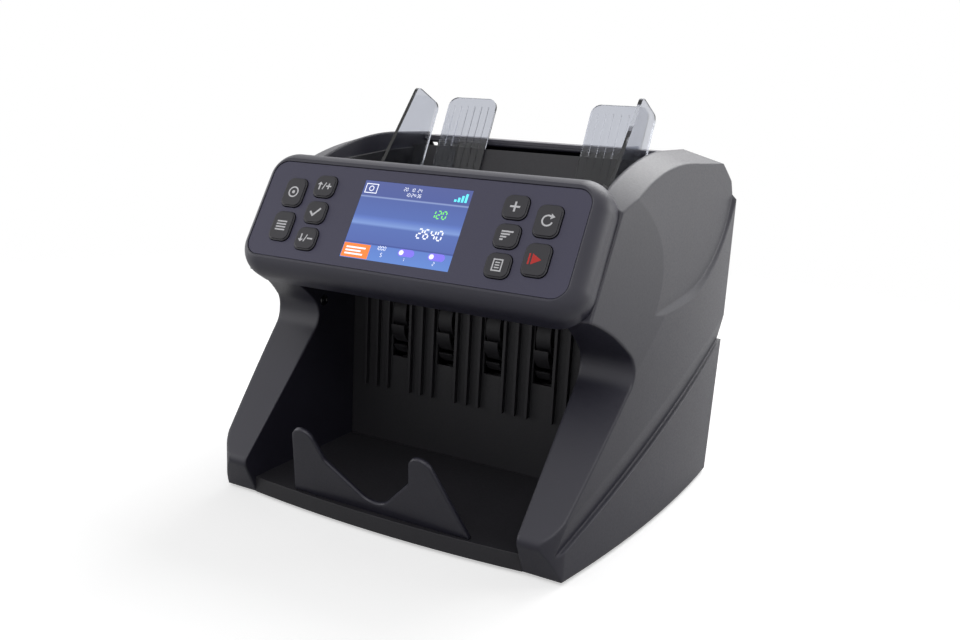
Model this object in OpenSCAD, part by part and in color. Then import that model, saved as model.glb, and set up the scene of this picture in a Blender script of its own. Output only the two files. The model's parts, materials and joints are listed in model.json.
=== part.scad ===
// Banknote counter: hopper on top, feed and stacker mechanism inside, open stacker pocket in front.
// Millimetres. +X right, front faces -Y, +Z up, origin on the table under the middle of the part.

/* [Shell] */
// Greatest width across the two side covers
body_w = 272.4; // [268:0.2:280]
// Height of the side covers' flat top above the table
shell_h = 226.5; // [225:0.5:230]
// Rear face, measured from the middle of the part
rear_y = 124; // [123:0.5:128]
// Moulded wall thickness
wall = 2.5; // [2:0.1:2.8]
// Radius of the arched top of the side covers, seen from the side
top_arc_r = 250; // [240:1:260]
// Outward slope of the side covers' top
top_slope = 17; // [14:0.5:20]
// Radius of the outward bow of the side covers, seen from above
plan_r = 1000; // [900:10:1100]
// Radius of the inward roll of the side covers toward their top
barrel_r = 250; // [235:5:300]
// Radius of the upright corner of each nose
nose_corner_r = 21; // [17:0.5:23]
// Radius of the nose crease
nose_r = 6; // [3:0.5:7]
// Height of the nose crease above the table
nose_z = 25.3; // [23:0.1:28]
// Slant of the arm fronts from the table
arm_deg = 46; // [44:0.5:47]
// Radius of the hollow where the arm meets the brow under the panel
hollow_r = 15; // [13:0.5:18]
// Radius of the brow curve under the panel
brow_r = 110; // [100:1:120]
// Depth of the lower swept step at its deepest
sweep_low_depth = 3; // [2:0.25:3.5]
// Depth of the upper swept step at its deepest
sweep_up_depth = 3.2; // [2:0.1:4]

/* [Pocket and tray] */
// Clear width of the stacker pocket
pocket_w = 189; // [187:0.5:190]
// Height of the pocket floor
floor_z = 12.5; // [11:0.5:14]
// Front face of the pocket back wall
pocket_back_y = 3; // [2:0.5:4]
// Height of the pocket ceiling
ceiling_z = 149.5; // [149:0.25:151]
// Furthest point of the bowed lip, in front of the middle of the part
lip_y = 105; // [104:0.5:107]
// Radius of the bowed lip
lip_r = 815; // [700:5:1000]
// Height of the rubber feet
foot_h = 2.5; // [2:0.5:4]
// Radius of the rubber feet
foot_r = 8; // [6:0.5:10]

/* [Stop plate] */
// Forward lean of the stop plate
stop_lean = 25; // [22:1:27]
// Height of the stop plate along its slope
stop_len = 55; // [50:1:58]
// Width of the stop plate at its foot
stop_w = 123; // [116:1:130]
// Distance between the two prong tips
prong_gap = 80; // [74:1:86]
// Radius of the prong tips
prong_r = 7.4; // [6:0.2:9]
// Radius of the finger notch
notch_r = 13; // [11:0.5:15]
// Height of the notch bottom above the pocket floor, along the slope
notch_rise = 8; // [6:0.5:11]
// Thickness of the stop plate
stop_t = 2.5; // [2:0.1:3]

/* [Control panel] */
// Tilt of the panel from the table
panel_deg = 59.1; // [58:0.1:60]
// Width of the panel bezel
panel_w = 230; // [228:0.5:233]
// Height of the panel bezel along its slope
panel_h = 83; // [82:0.5:84]
// Corner radius of the bezel
panel_corner_r = 19; // [18:0.5:21]
// Radius of the falling edge around the bezel
panel_edge_r = 16; // [14:0.5:17]
// Depth of the panel housing behind its face
panel_depth = 20; // [18:0.5:21]
// Width of the inset overlay
overlay_w = 212.4; // [210:0.2:214]
// Height of the inset overlay
overlay_h = 62.8; // [62:0.2:64]
// Corner radius of the overlay
overlay_r = 9; // [6:0.5:12]
// Thickness of the overlay sheet
overlay_t = 0.8; // [0.6:0.1:1]
// How far the bezel rim stands above the overlay
rim_rise = 0.3; // [0.2:0.1:0.6]
// Width of the display window
window_w = 72.5; // [70:0.5:74]
// Height of the display window
window_h = 49.4; // [48:0.2:51]
// Width of every key
key_w = 15; // [14:0.5:16]
// Height of a short key
key_h_short = 14.4; // [13.5:0.1:15]
// Height of a tall key
key_h_tall = 19; // [18:0.5:20]
// Corner radius of the keys
key_r = 4.5; // [3.5:0.25:5.5]
// How far a key stands above the overlay
key_rise = 1.6; // [1.3:0.1:2]
// Key travel
key_travel = 1; // [0.8:0.1:1.2]
// Gap around a key
key_gap = 0.4; // [0.3:0.05:0.6]

/* [Hopper] */
// Clear width of the hopper
hopper_w = 202; // [201:0.5:203]
// Slope of the hopper floor down to the rear
hopper_deg = 21.2; // [20.5:0.1:22]
// Length of the hopper floor along its slope
hopper_len = 100; // [98:0.5:101]
// Distance from the middle to each side guide
guide_x = 84; // [82:0.5:85]
// Thickness of the clear guides
guide_t = 2.6; // [2.2:0.1:3]
// Height of the guide tips above the table
guide_top = 258; // [254:0.5:262]
// Inner edge of each rear paddle from the middle
paddle_x = 37; // [34:0.5:40]
// Width of each rear paddle
paddle_w = 39.5; // [36:0.5:41]
// Length of each rear paddle along its slope
paddle_len = 62; // [56:1:64]
// Backward lean of the rear paddles
paddle_lean = 25; // [24:0.5:26]
// Thickness of the rear paddles
paddle_t = 2.2; // [1.8:0.1:2.6]
// Ribs on each rear paddle
paddle_ribs = 6; // [4:1:8]

/* [Mechanism] */
// Radius of the turning shafts
shaft_r = 4; // [3.5:0.1:4.2]
// Radius of the pick rollers
pick_r = 13; // [12.5:0.1:13.5]
// Radius of the feed rollers
feed_r = 15; // [14:0.25:15.5]
// Radius of the retard roller
retard_r = 9; // [8:0.25:9.5]
// Radius of the transport rollers
transport_r = 16; // [14:0.5:17]
// Radius of the pinch roller
pinch_r = 6; // [5.5:0.25:7]
// Gap left for the note between two rollers
note_gap = 0.6; // [0.4:0.1:0.9]
// Reach of the stacker fins
stacker_r = 30.7; // [29.5:0.1:31]
// Fins on each stacker wheel
stacker_fins = 12; // [8:1:14]
// Thickness of the steel frame plates
frame_t = 2; // [1.5:0.1:2.5]
// Inside distance between the frame plates
frame_w = 180; // [178:0.5:181]
// Radius of the drive motor
motor_r = 20; // [17:0.5:22]
// Teeth on the guide pinion
pinion_teeth = 16; // [16:2:18]
// Running gap between a shaft and its bearing
run_gap = 0.05; // [0.03:0.01:0.08]

/* [Hidden] */
$fn = 72;
bottom_z = foot_h;
inner_x = pocket_w / 2;
hopper_x = hopper_w / 2;
cut = 1;
fit = 0.02;
rest_gap = 0.3;
lap = 0.03;

// Side cover outline, seen from the side
top_arc_y = 60;
top_arc_z = shell_h - top_arc_r;
plan_peak_y = rear_y - 32;
nose_y = -110.5;
nose_foot_y = -99;
nose_over = 0.8;
nose = [nose_y, nose_z];
arm_len = 99.5;
arm_top = nose + arm_len * [cos(arm_deg), sin(arm_deg)];
hollow_c = arm_top + (hollow_r - lap) * [-sin(arm_deg), cos(arm_deg)];
brow_turn = 47;
brow_c = hollow_c - (brow_r - hollow_r + lap) * [cos(brow_turn), sin(brow_turn)];
cheek_y = -94.5;
cheek_taper = 11.3;
cheek_lean = 6;
chamfer_y = rear_y - 20;
chamfer_drop = 20;
rear_lean_z = 110;
rear_foot_y = rear_y - 10;
back_wall_y = pocket_back_y + wall;

// Swept steps on the outer side
sweep_up_c = [22.9, 139.6];
sweep_up_r = 145;
sweep_up_tail = 5.6;
sweep_up_pivot = [body_w / 2 - 1.5, 0, shell_h - 81.6];
sweep_up_slope = 45;
sweep_up_reach = 130;
sweep_up_front_y = -25;
sweep_up_front_z = shell_h - 91.5;
sweep_up_rise = 9;
sweep_up_rear_y = rear_y - 6;
sweep_low_front = [-98, 20];
sweep_low_rear = [rear_y, 96.7];
sweep_low_r = 3000;
sweep_low_tilt = 9.5;
sweep_hollow_r = 1200;
sweep_hollow_y = 37;
sweep_hollow_z = 70;

// Control panel frame: x along the panel, y up its slope, z out of its face
panel_y = -79.8;
panel_z = shell_h - 45.1;
panel_v = 1.1;
panel_gap = 1.5;
front_wall = 2.5;
groove = 0.4;
rim = 0.4;
panel_fall = (panel_w - overlay_w) / 2 - groove - rim;
overlay_v = 0.7;
window_x = -0.9;
window_v = 0.2;
window_lip = 1.5;
panel_floor = -overlay_t - front_wall;
cavity_w = 188;
cavity_h = 59;
key_short_x = 64.1;
key_tall_x = 85;
key_short_v = 0.15;
key_short_pitch = 17.3;
key_tall_v = 0.15;
key_tall_pitch = 22.6;
flange = 1.2;
flange_t = 1.3;
key_foot = panel_floor - 2.9;
board_t = 1.6;
board_w = key_foot - key_travel - 0.2;

// Hopper frame: y down the slope to the rear, z out of the floor
hopper_y = -47;
hopper_z = shell_h - 12.5;
paddle_y = 70;
paddle_z = shell_h - 32.5;
paddle_foot = 2;
rear_wall_h = 26;
hopper_lead = 8;

// Shaft places, seen from the side
pick_s = 77;
pick_sink = pick_r - 1.5;
pick_c = hopper_point(pick_s, -pick_sink);
feed_c = [62, shell_h - 65.5];
retard_c = feed_c + (feed_r + retard_r + note_gap) * [sin(30), cos(30)];
transport_c = [78, 112];
pinch_c = transport_c + [transport_r + pinch_r + note_gap, 0];
stacker_c = [back_wall_y + 22.5, 100];
motor_c = [58, 40];
frame_x = frame_w / 2;
frame_front_y = back_wall_y + wall;
frame_rear_y = rear_y - 16;
bearing_r = 6.2;
roller_x = [-30, 30];
stacker_x = [-54, -18, 18, 54];
stacker_t = 10;

// Belt planes along X
belt_w = 6;
belt_t = 1.4;
belt_gap = 0.15;
plane_a = frame_x + frame_t + 2.5;
plane_b = plane_a + 8;
plane_c = plane_b + 8;
pulley_motor_r = 7;
pulley_big_r = 16;
pulley_mid_r = 12;
pulley_stack_r = 14;
pulley_pick_r = 9;

// Guide sliders and pinion, in the hopper frame
module_mm = 1;
pinion_r = module_mm * pinion_teeth / 2;
pinion_s = pick_s + 1;
rack_low = -33;
rack_h = 5;
rack_body = 6.9;
tooth_up = 0.9;
tooth_down = 1.1;
guide_in = 28;
guide_out = 2;
stem_w = 6;
rail_t = 2;
post_r = 3;

// Rear door and lower panel
hinge_c = [rear_y - 8.5, 57];
pin_r = 2;
knuckle_r = 4;
door_low_z = 62.5;
door_gap = 0.6;
lid_front_y = rear_y - 27;
lid_z = shell_h - 2.5;
panel_back_y = rear_y - 15.5;
inlet_c = [-60, 26];
inlet_w = 48;
inlet_h = 28;
inlet_flange = 3;
rocker_x = -45.5;
rocker_deg = 8;
screw_x = 112;
screw_z = [28, 186];
screw_r = 1.5;
head_r = 3.5;
head_h = 2.4;

// Stop plate foot: its tips stand as far in front of the middle as the rear face stands behind it
stop_y = -rear_y + stop_len * sin(stop_lean);
tongue_w = stop_w - 22;
tongue_h = 5;

// Point of the hopper frame, as [y, z] of the part
function hopper_point(s, h) =
    [hopper_y + s * cos(hopper_deg) + h * sin(hopper_deg), hopper_z - s * sin(hopper_deg) + h * cos(hopper_deg)];

// Point of the frame of the rear paddles, as [y, z] of the part
function paddle_point(s, h) =
    [paddle_y + s * cos(paddle_lean) + h * sin(paddle_lean), paddle_z - s * sin(paddle_lean) + h * cos(paddle_lean)];

// Outer X of the bowed side at a given Y
function plan_x(y) = body_w / 2 - plan_r + sqrt(plan_r * plan_r - (y - plan_peak_y) * (y - plan_peak_y));

// Centre of the circle of radius r through a and b, below the line that joins them
function arc_below(a, b, r) =
    let (m = (a + b) / 2, d = b - a, n = norm(d), k = sqrt(r * r - n * n / 4))
    m + k * [d[1], -d[0]] / n;

// Unit vector
function unit(v) = v / norm(v);

// Extrudes a (y, z) outline from x0 to x1
module along_x(x0, x1) {
    translate([x0, 0, 0]) rotate([90, 0, 90]) linear_extrude(x1 - x0) children();
}

// Moves to the control panel frame
module on_panel() {
    translate([0, panel_y, panel_z]) rotate([panel_deg, 0, 0]) children();
}

// Moves to the hopper frame
module on_hopper() {
    translate([0, hopper_y, hopper_z]) rotate([-hopper_deg, 0, 0]) children();
}

// Moves to the frame of the rear paddles: y through their thickness, z up their slope
module on_paddle() {
    translate([0, paddle_y, paddle_z]) rotate([-paddle_lean, 0, 0]) children();
}

// Moves to the frame of the stop plate: y through its thickness, z up its slope
module on_stop() {
    translate([0, stop_y, floor_z]) rotate([stop_lean, 0, 0]) children();
}

// Cylinder along X between x0 and x1 about c = [y, z]
module rod(c, r, x0, x1) {
    translate([x0, c[0], c[1]]) rotate([0, 90, 0]) cylinder(r = r, h = x1 - x0);
}

// Box from corner a to corner b
module box(a, b) {
    translate(a) cube(b - a);
}

// Rounded rectangle centred on the origin
module round_rect(w, h, r) {
    square([w, h - 2 * r], center = true);
    square([w - 2 * r, h], center = true);
    for (x = [-1, 1], y = [-1, 1])
        translate([x * (w / 2 - r), y * (h / 2 - r)]) circle(r);
}

// Side cover outline in (y, z)
module cover_profile() {
    foot = [nose_foot_y, bottom_z];
    down = unit(foot - nose);
    up = [cos(arm_deg), sin(arm_deg)];
    half = acos(down * up) / 2;
    nose_c = nose + unit(down + up) * nose_r / sin(half);
    reach = nose_r / tan(half);
    difference() {
        polygon([foot, nose, [nose_y, shell_h], [chamfer_y, shell_h], [rear_y, shell_h - chamfer_drop],
            [rear_y, rear_lean_z], [rear_foot_y, bottom_z]]);
        front_recess();
        translate([cheek_y - 100, hollow_c[1]]) square([100, 200]);
        difference() {
            polygon([nose, nose + reach * down, nose_c, nose + reach * up]);
            translate(nose_c) circle(nose_r);
        }
    }
}

// Opening in front of the arms and under the brow, in (y, z)
module front_recess() {
    far = -200;
    translate(hollow_c) circle(hollow_r);
    intersection() {
        translate(brow_c) circle(brow_r, $fn = 240);
        polygon([nose, arm_top, hollow_c, hollow_c + 3 * hollow_r * [cos(brow_turn), sin(brow_turn)], [far, 300],
            [far, nose_z]]);
    }
}

// Arched top of the right cover, which slopes down outward from the hopper
module cover_top() {
    translate([hopper_x, 0, shell_h]) rotate([0, top_slope, 0]) along_x(-100, 140) translate([0, -shell_h]) {
        translate([top_arc_y, top_arc_z]) circle(top_arc_r, $fn = 360);
        translate([top_arc_y, -200]) square([200, shell_h + 200]);
    }
}

// What the covers' front takes off as it tapers toward the panel, from the deepest point of the hollow on
module cheek_cut() {
    edge_y = hollow_c[0] + hollow_r;
    translate([plan_x(edge_y), edge_y, hollow_c[1]]) rotate([0, 0, -cheek_taper]) rotate([0, -cheek_lean, 0])
        box([0, -200, -200], [60, 200, 200]);
}

// Room that the panel housing takes in the covers' front
module panel_seat() {
    on_panel() translate([-panel_w / 2 - panel_gap, panel_v - panel_h, -panel_depth - rest_gap])
        cube([panel_w + 2 * panel_gap, 2 * panel_h, 200]);
}

// Plan outline of the right cover, drawn in by inset
module plan_outline(inset) {
    corner_y = nose_y - nose_over + nose_corner_r;
    corner_x = plan_x(corner_y) - nose_corner_r;
    intersection() {
        translate([body_w / 2 - plan_r, plan_peak_y]) circle(plan_r - inset, $fn = 720);
        union() {
            translate([0, -200]) square([corner_x, 400]);
            translate([0, corner_y]) square([200, 300]);
            translate([corner_x, corner_y]) circle(nose_corner_r);
        }
    }
}

// What the upper swept step takes off the outer side: all above a slanted ledge, outside a rolled-in panel
module upper_sweep_cut() {
    front = [plan_x(sweep_up_front_y), sweep_up_front_y];
    rear = [plan_x(sweep_up_rear_y), sweep_up_rear_y];
    run = rear - front;
    bow = norm(run) * norm(run) / 8 / plan_r;
    tail = [sin(sweep_up_tail), -cos(sweep_up_tail)];
    start = sweep_up_c + sweep_up_r * tail;
    reach = 160;
    high = sweep_up_c[1] + 40;
    difference() {
        translate(sweep_up_pivot) rotate([0, sweep_up_slope, 0]) along_x(-sweep_up_reach, 60) {
            translate(sweep_up_c) circle(sweep_up_r, $fn = 240);
            polygon([start, start - reach * [cos(sweep_up_tail), sin(sweep_up_tail)], [start[0] - reach, high],
                [sweep_up_c[0], high], sweep_up_c]);
        }
        translate([front[0] - (sweep_up_depth - bow), front[1], sweep_up_front_z])
            rotate([0, 0, -atan2(run[0], run[1])]) rotate([sweep_up_rise, 0, 0]) rotate([90, 0, 0])
                translate([-barrel_r, 0, 0]) cylinder(r = barrel_r, h = 900, center = true, $fn = 360);
    }
}

// What the lower swept step takes off the outer side
module lower_sweep_cut() {
    edge_x = body_w / 2 - 1.6 - sweep_low_depth;
    difference() {
        along_x(inner_x + 10, body_w / 2 + cut) difference() {
            translate([-200, 0]) square([400, shell_h]);
            translate(arc_below(sweep_low_front, sweep_low_rear, sweep_low_r)) circle(sweep_low_r, $fn = 720);
        }
        translate([edge_x, sweep_hollow_y, sweep_hollow_z]) rotate([0, sweep_low_tilt, 0])
            translate([-sweep_hollow_r, 0, -400]) cylinder(r = sweep_hollow_r, h = 800, $fn = 720);
    }
}

// Room inside the right cover for the belts or the board
module cover_cavity() {
    intersection() {
        along_x(hopper_x - cut, body_w)
            polygon([[back_wall_y + wall, bottom_z + wall], [rear_foot_y - 2 * wall, bottom_z + wall],
                [rear_y - 1.2 * wall, rear_lean_z], [rear_y - 1.2 * wall, shell_h - 1.4 * chamfer_drop],
                [back_wall_y + wall, shell_h - 1.4 * chamfer_drop]]);
        linear_extrude(300) plan_outline(3 * wall + sweep_up_depth + 0.6);
    }
}

// Right side cover; the left one is its mirror image
module side_cover() {
    difference() {
        intersection() {
            along_x(inner_x, body_w / 2 + cut) cover_profile();
            linear_extrude(300) plan_outline(0);
            cover_top();
        }
        panel_seat();
        box([inner_x - cut, back_wall_y, 0], [hopper_x, rear_y + cut, 300]);
        box([inner_x - cut, -60, ceiling_z], [hopper_x, rear_y + cut, 300]);
        difference() {
            cover_cavity();
            for (z = screw_z) translate([screw_x, rear_y, z]) rotate([90, 0, 0]) cylinder(r = 2 * head_r, h = 30);
        }
        upper_sweep_cut();
        lower_sweep_cut();
        cheek_cut();
        for (z = screw_z) screw_hole(z);
    }
}

// Counterbored screw hole from the rear at height z
module screw_hole(z) {
    translate([screw_x, rear_y + cut, z]) rotate([90, 0, 0]) cylinder(r = head_r + 0.5, h = screw_seat(z) + cut);
    translate([screw_x, rear_y, z]) rotate([90, 0, 0]) cylinder(r = screw_r + fit, h = screw_seat(z) + 12);
}

// Depth of the screw seat below the rear face at height z
function screw_seat(z) = z < rear_lean_z ? 13 : 4;

module right_side_cover() {
    color("#45444e") side_cover();
}

module left_side_cover() {
    color("#45444e") mirror([1, 0, 0]) side_cover();
}

// Bottom pan with the pocket floor and the bowed lip
module base_tray() {
    tray_rear_y = back_wall_y;
    color("#3c3b45") difference() {
        union() {
            intersection() {
                box([-inner_x, -lip_y - cut, bottom_z], [inner_x, tray_rear_y, floor_z]);
                translate([0, lip_r - lip_y, 0]) cylinder(r = lip_r, h = 100, $fn = 720);
            }
            box([-hopper_x, tray_rear_y, bottom_z], [hopper_x, panel_back_y, bottom_z + wall]);
        }
        intersection() {
            box([-inner_x + wall, -lip_y, bottom_z - cut], [inner_x - wall, tray_rear_y - wall, floor_z - wall]);
            translate([0, lip_r - lip_y + 3 * wall, 0]) cylinder(r = lip_r, h = 100, $fn = 720);
            translate([0, 0, floor_z - wall - 50]) difference() {
                translate([-200, -200, 0]) cube([400, 400, 50]);
                translate([0, 0, 50 - floor_z + wall]) for (x = foot_places()) translate([x[0], x[1], 0])
                    cylinder(r = foot_r + wall, h = floor_z);
            }
        }
        on_stop() translate([-tongue_w / 2 - 0.2, -0.15, -tongue_h - 0.2])
            cube([tongue_w + 0.4, stop_t + 0.3, tongue_h + 3]);
    }
}

// Places of the rubber feet
function foot_places() = [for (x = [-1, 1], y = [-72, 92]) [x * 78, y]];

module rubber_feet() {
    color("#1b1b1d") for (p = foot_places()) translate([p[0], p[1], 0]) cylinder(r = foot_r, h = foot_h);
}

// Two-pronged stop plate with its finger notch, in (x, slope)
module stop_outline() {
    tip = [prong_gap / 2, stop_len - prong_r];
    notch_c = [0, notch_rise + notch_r];
    lean = atan2(stop_w / 2 - tip[0], tip[1]);
    out = prong_r * [cos(lean / 2), sin(lean / 2)];
    notch_side = (notch_r - 2 * lap) * [cos(45), -sin(45)];
    tip_side = tip - [prong_r * cos(20), -prong_r * sin(20)];
    difference() {
        union() {
            polygon([[-stop_w / 2, 0], [stop_w / 2, 0], tip + out, tip, [-tip[0], tip[1]],
                [-tip[0] - out[0], tip[1] + out[1]]]);
            for (x = [-1, 1]) translate([x * tip[0], tip[1]]) circle(prong_r);
            translate([-tongue_w / 2, -tongue_h]) square([tongue_w, tongue_h + cut]);
        }
        translate(notch_c) circle(notch_r);
        polygon([notch_c + notch_side, [tip_side[0] - 4, stop_len / 2 + 6], tip_side, [tip_side[0], stop_len + 9],
            [-tip_side[0], stop_len + 9], [-tip_side[0], tip_side[1]], [4 - tip_side[0], stop_len / 2 + 6],
            notch_c + [-notch_side[0], notch_side[1]]]);
    }
}

module front_stop_plate() {
    color("#24242a") on_stop() translate([0, stop_t, 0]) rotate([90, 0, 0]) linear_extrude(stop_t) stop_outline();
}

// Pocket back wall with fin slots, a comb of ribs and the ceiling under the panel
module pocket_back_wall() {
    slot_h = 48;
    slot_w = stacker_t + 4;
    rib_w = 2;
    rib_pitch = 9;
    half = inner_x - 0.3;
    color("#17171a") difference() {
        union() {
            box([-half, pocket_back_y, floor_z], [half, back_wall_y, ceiling_z + wall]);
            box([-half, panel_back(ceiling_z + wall) + cut, ceiling_z], [half, back_wall_y, ceiling_z + wall]);
            for (x = [-9 : 9]) if (!beside_fin(x * rib_pitch, slot_w / 2 + rib_w))
                box([x * rib_pitch - rib_w / 2, pocket_back_y - 4, floor_z + 40],
                    [x * rib_pitch + rib_w / 2, pocket_back_y + cut, ceiling_z + cut]);
        }
        for (x = stacker_x) box([x - slot_w / 2, pocket_back_y - 10, stacker_c[1] - slot_h / 2],
            [x + slot_w / 2, back_wall_y + cut, stacker_c[1] + slot_h / 2]);
    }
}

// Y of the panel housing's rear face at height z
function panel_back(z) =
    panel_y + (z - panel_z + panel_depth * cos(panel_deg)) / tan(panel_deg) + panel_depth * sin(panel_deg);

// True where a rib would stand beside a fin slot
function beside_fin(x, reach) = min([for (s = stacker_x) abs(x - s)]) < reach;

// Section of the falling edge: reach out from a centre line, between z = -depth and z = rise
module edge_section(reach, edge, fall, depth, rise) {
    low = rise - sqrt(edge * edge - (edge - fall) * (edge - fall));
    intersection() {
        translate([0, -depth]) square([reach, depth + rise]);
        union() {
            translate([reach - edge, low]) circle(edge, $fn = 180);
            translate([0, -depth]) square([reach, low + depth]);
            translate([0, -depth]) square([reach - edge + fall / 2, rise + depth]);
        }
    }
}

// Plate whose edge falls away all round, from z = -depth to z = rise
module soft_plate(w, h, corner, edge, fall, depth, rise) {
    for (m = [0, 1]) mirror([m, 0, 0]) {
        translate([0, h / 2 - corner, 0]) rotate([90, 0, 0])
            linear_extrude(h - 2 * corner) edge_section(w / 2, edge, fall, depth, rise);
        for (n = [0, 1]) mirror([0, n, 0]) translate([w / 2 - corner, h / 2 - corner, 0])
            rotate_extrude(angle = 90) edge_section(corner, edge, fall, depth, rise);
    }
    for (m = [0, 1]) mirror([0, m, 0]) translate([corner - w / 2, 0, 0]) rotate([90, 0, 90])
        linear_extrude(w - 2 * corner) edge_section(h / 2, edge, fall, depth, rise);
}

// Rounded panel housing: bezel, recess for the overlay, openings for the keys and the display
module control_panel_housing() {
    color("#45444e") on_panel() difference() {
        translate([0, panel_v, 0])
            soft_plate(panel_w, panel_h, panel_corner_r, panel_edge_r, panel_fall, panel_depth, rim_rise);
        translate([0, overlay_v, -overlay_t]) linear_extrude(10)
            round_rect(overlay_w + 2 * groove, overlay_h + 2 * groove, overlay_r + groove);
        difference() {
            translate([-cavity_w / 2, -cavity_h / 2, -panel_depth - cut])
                cube([cavity_w, cavity_h, panel_depth + cut + panel_floor]);
            for (b = board_bosses()) translate([b[0], b[1], board_w]) cylinder(r = 2.5, h = 20);
        }
        translate([0, 0, -10]) linear_extrude(20) key_layout(key_gap);
        translate([window_x, window_v, -10]) linear_extrude(20)
            square([window_w - 2 * window_lip, window_h - 2 * window_lip], center = true);
    }
}

// Screw bosses behind the panel that carry the key boards
function board_bosses() = [for (x = [-1, 1], p = [[51, 24], [51, -24], [74.5, 24.5], [74.5, -24.5]]) [x * p[0], p[1]]];

// Key centres, as [x, slope, height]: short keys in a column, tall keys outside it
function short_key(side, row) = [side * key_short_x, key_short_v + row * key_short_pitch, key_h_short];
function tall_key(side, row) = [side * key_tall_x, key_tall_v + row * key_tall_pitch, key_h_tall];
function all_keys() = concat([for (s = [-1, 1], r = [-1, 0, 1]) short_key(s, r)],
    [for (s = [-1, 1], r = [-0.5, 0.5]) tall_key(s, r)]);

// Outlines of all keys, grown by gap
module key_layout(gap) {
    for (k = all_keys()) translate([k[0], k[1]]) round_rect(key_w + 2 * gap, k[2] + 2 * gap, key_r + gap);
}

module panel_overlay() {
    color("#3d3c46") on_panel() difference() {
        translate([0, overlay_v, -overlay_t]) linear_extrude(overlay_t) round_rect(overlay_w, overlay_h, overlay_r);
        translate([0, 0, -5]) linear_extrude(10) key_layout(key_gap);
        translate([window_x, window_v, -5]) linear_extrude(10) square([window_w + 0.2, window_h + 0.2], center = true);
    }
}

module display_window() {
    color("#4a62c8") on_panel() translate([window_x, window_v, -overlay_t]) linear_extrude(overlay_t - 0.1)
        square([window_w, window_h], center = true);
}

// Display module behind the window, with its metal frame and connector tail
module display_module() {
    color("#8a8f96") on_panel() translate([window_x, window_v, panel_floor]) {
        translate([0, 0, -2.5]) cube([window_w + 6, window_h + 5, 5], center = true);
        translate([0, -6, -6]) cube([window_w - 14, window_h - 22, 2.4], center = true);
    }
}

// Key cap with its retaining flange, at k = [x, slope, height]
module key(k) {
    color("#26252c") on_panel() translate([k[0], k[1], 0]) {
        dome = 0.8;
        translate([0, 0, key_foot]) linear_extrude(key_rise - dome - key_foot) round_rect(key_w, k[2], key_r);
        translate([0, 0, key_rise - dome - cut]) linear_extrude(cut + dome)
            round_rect(key_w - 2 * dome, k[2] - 2 * dome, key_r - dome);
        translate([0, 0, panel_floor - rest_gap - flange_t]) linear_extrude(flange_t)
            round_rect(key_w + 2 * flange, k[2] + 2 * flange, key_r + flange);
    }
}

module key_up() { key(short_key(-1, 1)); }
module key_confirm() { key(short_key(-1, 0)); }
module key_down() { key(short_key(-1, -1)); }
module key_currency() { key(tall_key(-1, 0.5)); }
module key_batch() { key(tall_key(-1, -0.5)); }
module key_add() { key(short_key(1, 1)); }
module key_sort() { key(short_key(1, 0)); }
module key_report() { key(short_key(1, -1)); }
module key_mode() { key(tall_key(1, 0.5)); }
module key_start() { key(tall_key(1, -0.5)); }

// Circuit boards under the two key blocks
module key_boards() {
    color("#2f5b3c") on_panel() for (x = [-1, 1]) translate([x * 70, 0, board_w - board_t])
        linear_extrude(board_t) square([46, cavity_h - 2], center = true);
}

// Sloped hopper floor with its side cheeks and leaning rear wall
module hopper_floor() {
    half = hopper_x;
    cheek_t = wall;
    color("#202026") difference() {
        union() {
            on_hopper() box([-half, hopper_lead, -wall], [half, hopper_len, 0]);
            on_paddle() box([-half, 0, 0], [half, wall, rear_wall_h]);
            for (x = [-half, half - cheek_t]) along_x(x, x + cheek_t) polygon([hopper_point(40, -wall),
                hopper_point(hopper_len, -wall), paddle_point(wall / 2, 8), paddle_point(wall / 2, rear_wall_h - 2),
                [paddle_y - 20, paddle_z + 20], hopper_point(40, 10)]);
        }
        on_hopper() {
            for (x = roller_x) box([x - 10, pick_s - 11, -10], [x + 10, pick_s + 11, 10]);
            box([-stem_out(), left_stem_s() - 1, -10], [-stem_in(), left_stem_s() + stem_w + 1, 10]);
            box([stem_in(), right_stem_s() - 1, -10], [stem_out(), right_stem_s() + stem_w + 1, 10]);
        }
    }
}

// Slot limits for the guide stems, and where the stems stand along the slope
function stem_in() = guide_x - guide_in - guide_t - 1;
function stem_out() = guide_x + guide_out + guide_t + 1;
function left_stem_s() = pinion_s - pinion_r - tooth_down - rack_body;
function right_stem_s() = pinion_s + pinion_r + tooth_down + rack_body - stem_w;

// Outline of a side guide in the hopper frame (y, z), without its stem
function guide_corner(y, z) =
    [(y - hopper_y) * cos(hopper_deg) - (z - hopper_z) * sin(hopper_deg),
     (y - hopper_y) * sin(hopper_deg) + (z - hopper_z) * cos(hopper_deg)];

// Front face of the rear paddles at height z, with room for the guides
function paddle_front(z) = paddle_y + (z - paddle_z) * tan(paddle_lean) - (paddle_t + 2.5) / cos(paddle_lean);

module guide_outline() {
    lift = 0.4;
    tip_r = 5;
    low = guide_corner(12, hopper_z - 22);
    tip = guide_corner(62, guide_top - tip_r);
    back_z = guide_top - 9 - tip_r;
    back = guide_corner(paddle_front(back_z) - tip_r, back_z);
    foot_z = paddle_z + 8;
    foot = guide_corner(paddle_front(foot_z), foot_z);
    edge = guide_corner(paddle_front(back_z), back_z);
    along = unit(tip - low);
    side = tip_r * [-along[1], along[0]];
    over = unit(back - tip);
    crown = tip_r * [-over[1], over[0]];
    polygon([[low[0], lift], [hopper_len - 2, lift], foot, edge, back, back + crown, tip + crown, tip, tip + side,
        low + side]);
    translate(tip) circle(tip_r);
    translate(back) circle(tip_r);
}

// Clear side guide at x, with its stem at s along the slope
module side_guide(x, s) {
    color([0.75, 0.78, 0.82, 0.5]) on_hopper() {
        along_x(x - guide_t / 2, x + guide_t / 2) guide_outline();
        box([x - guide_t / 2, s, rack_low + rack_h], [x + guide_t / 2, s + stem_w, 2]);
    }
}

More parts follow.
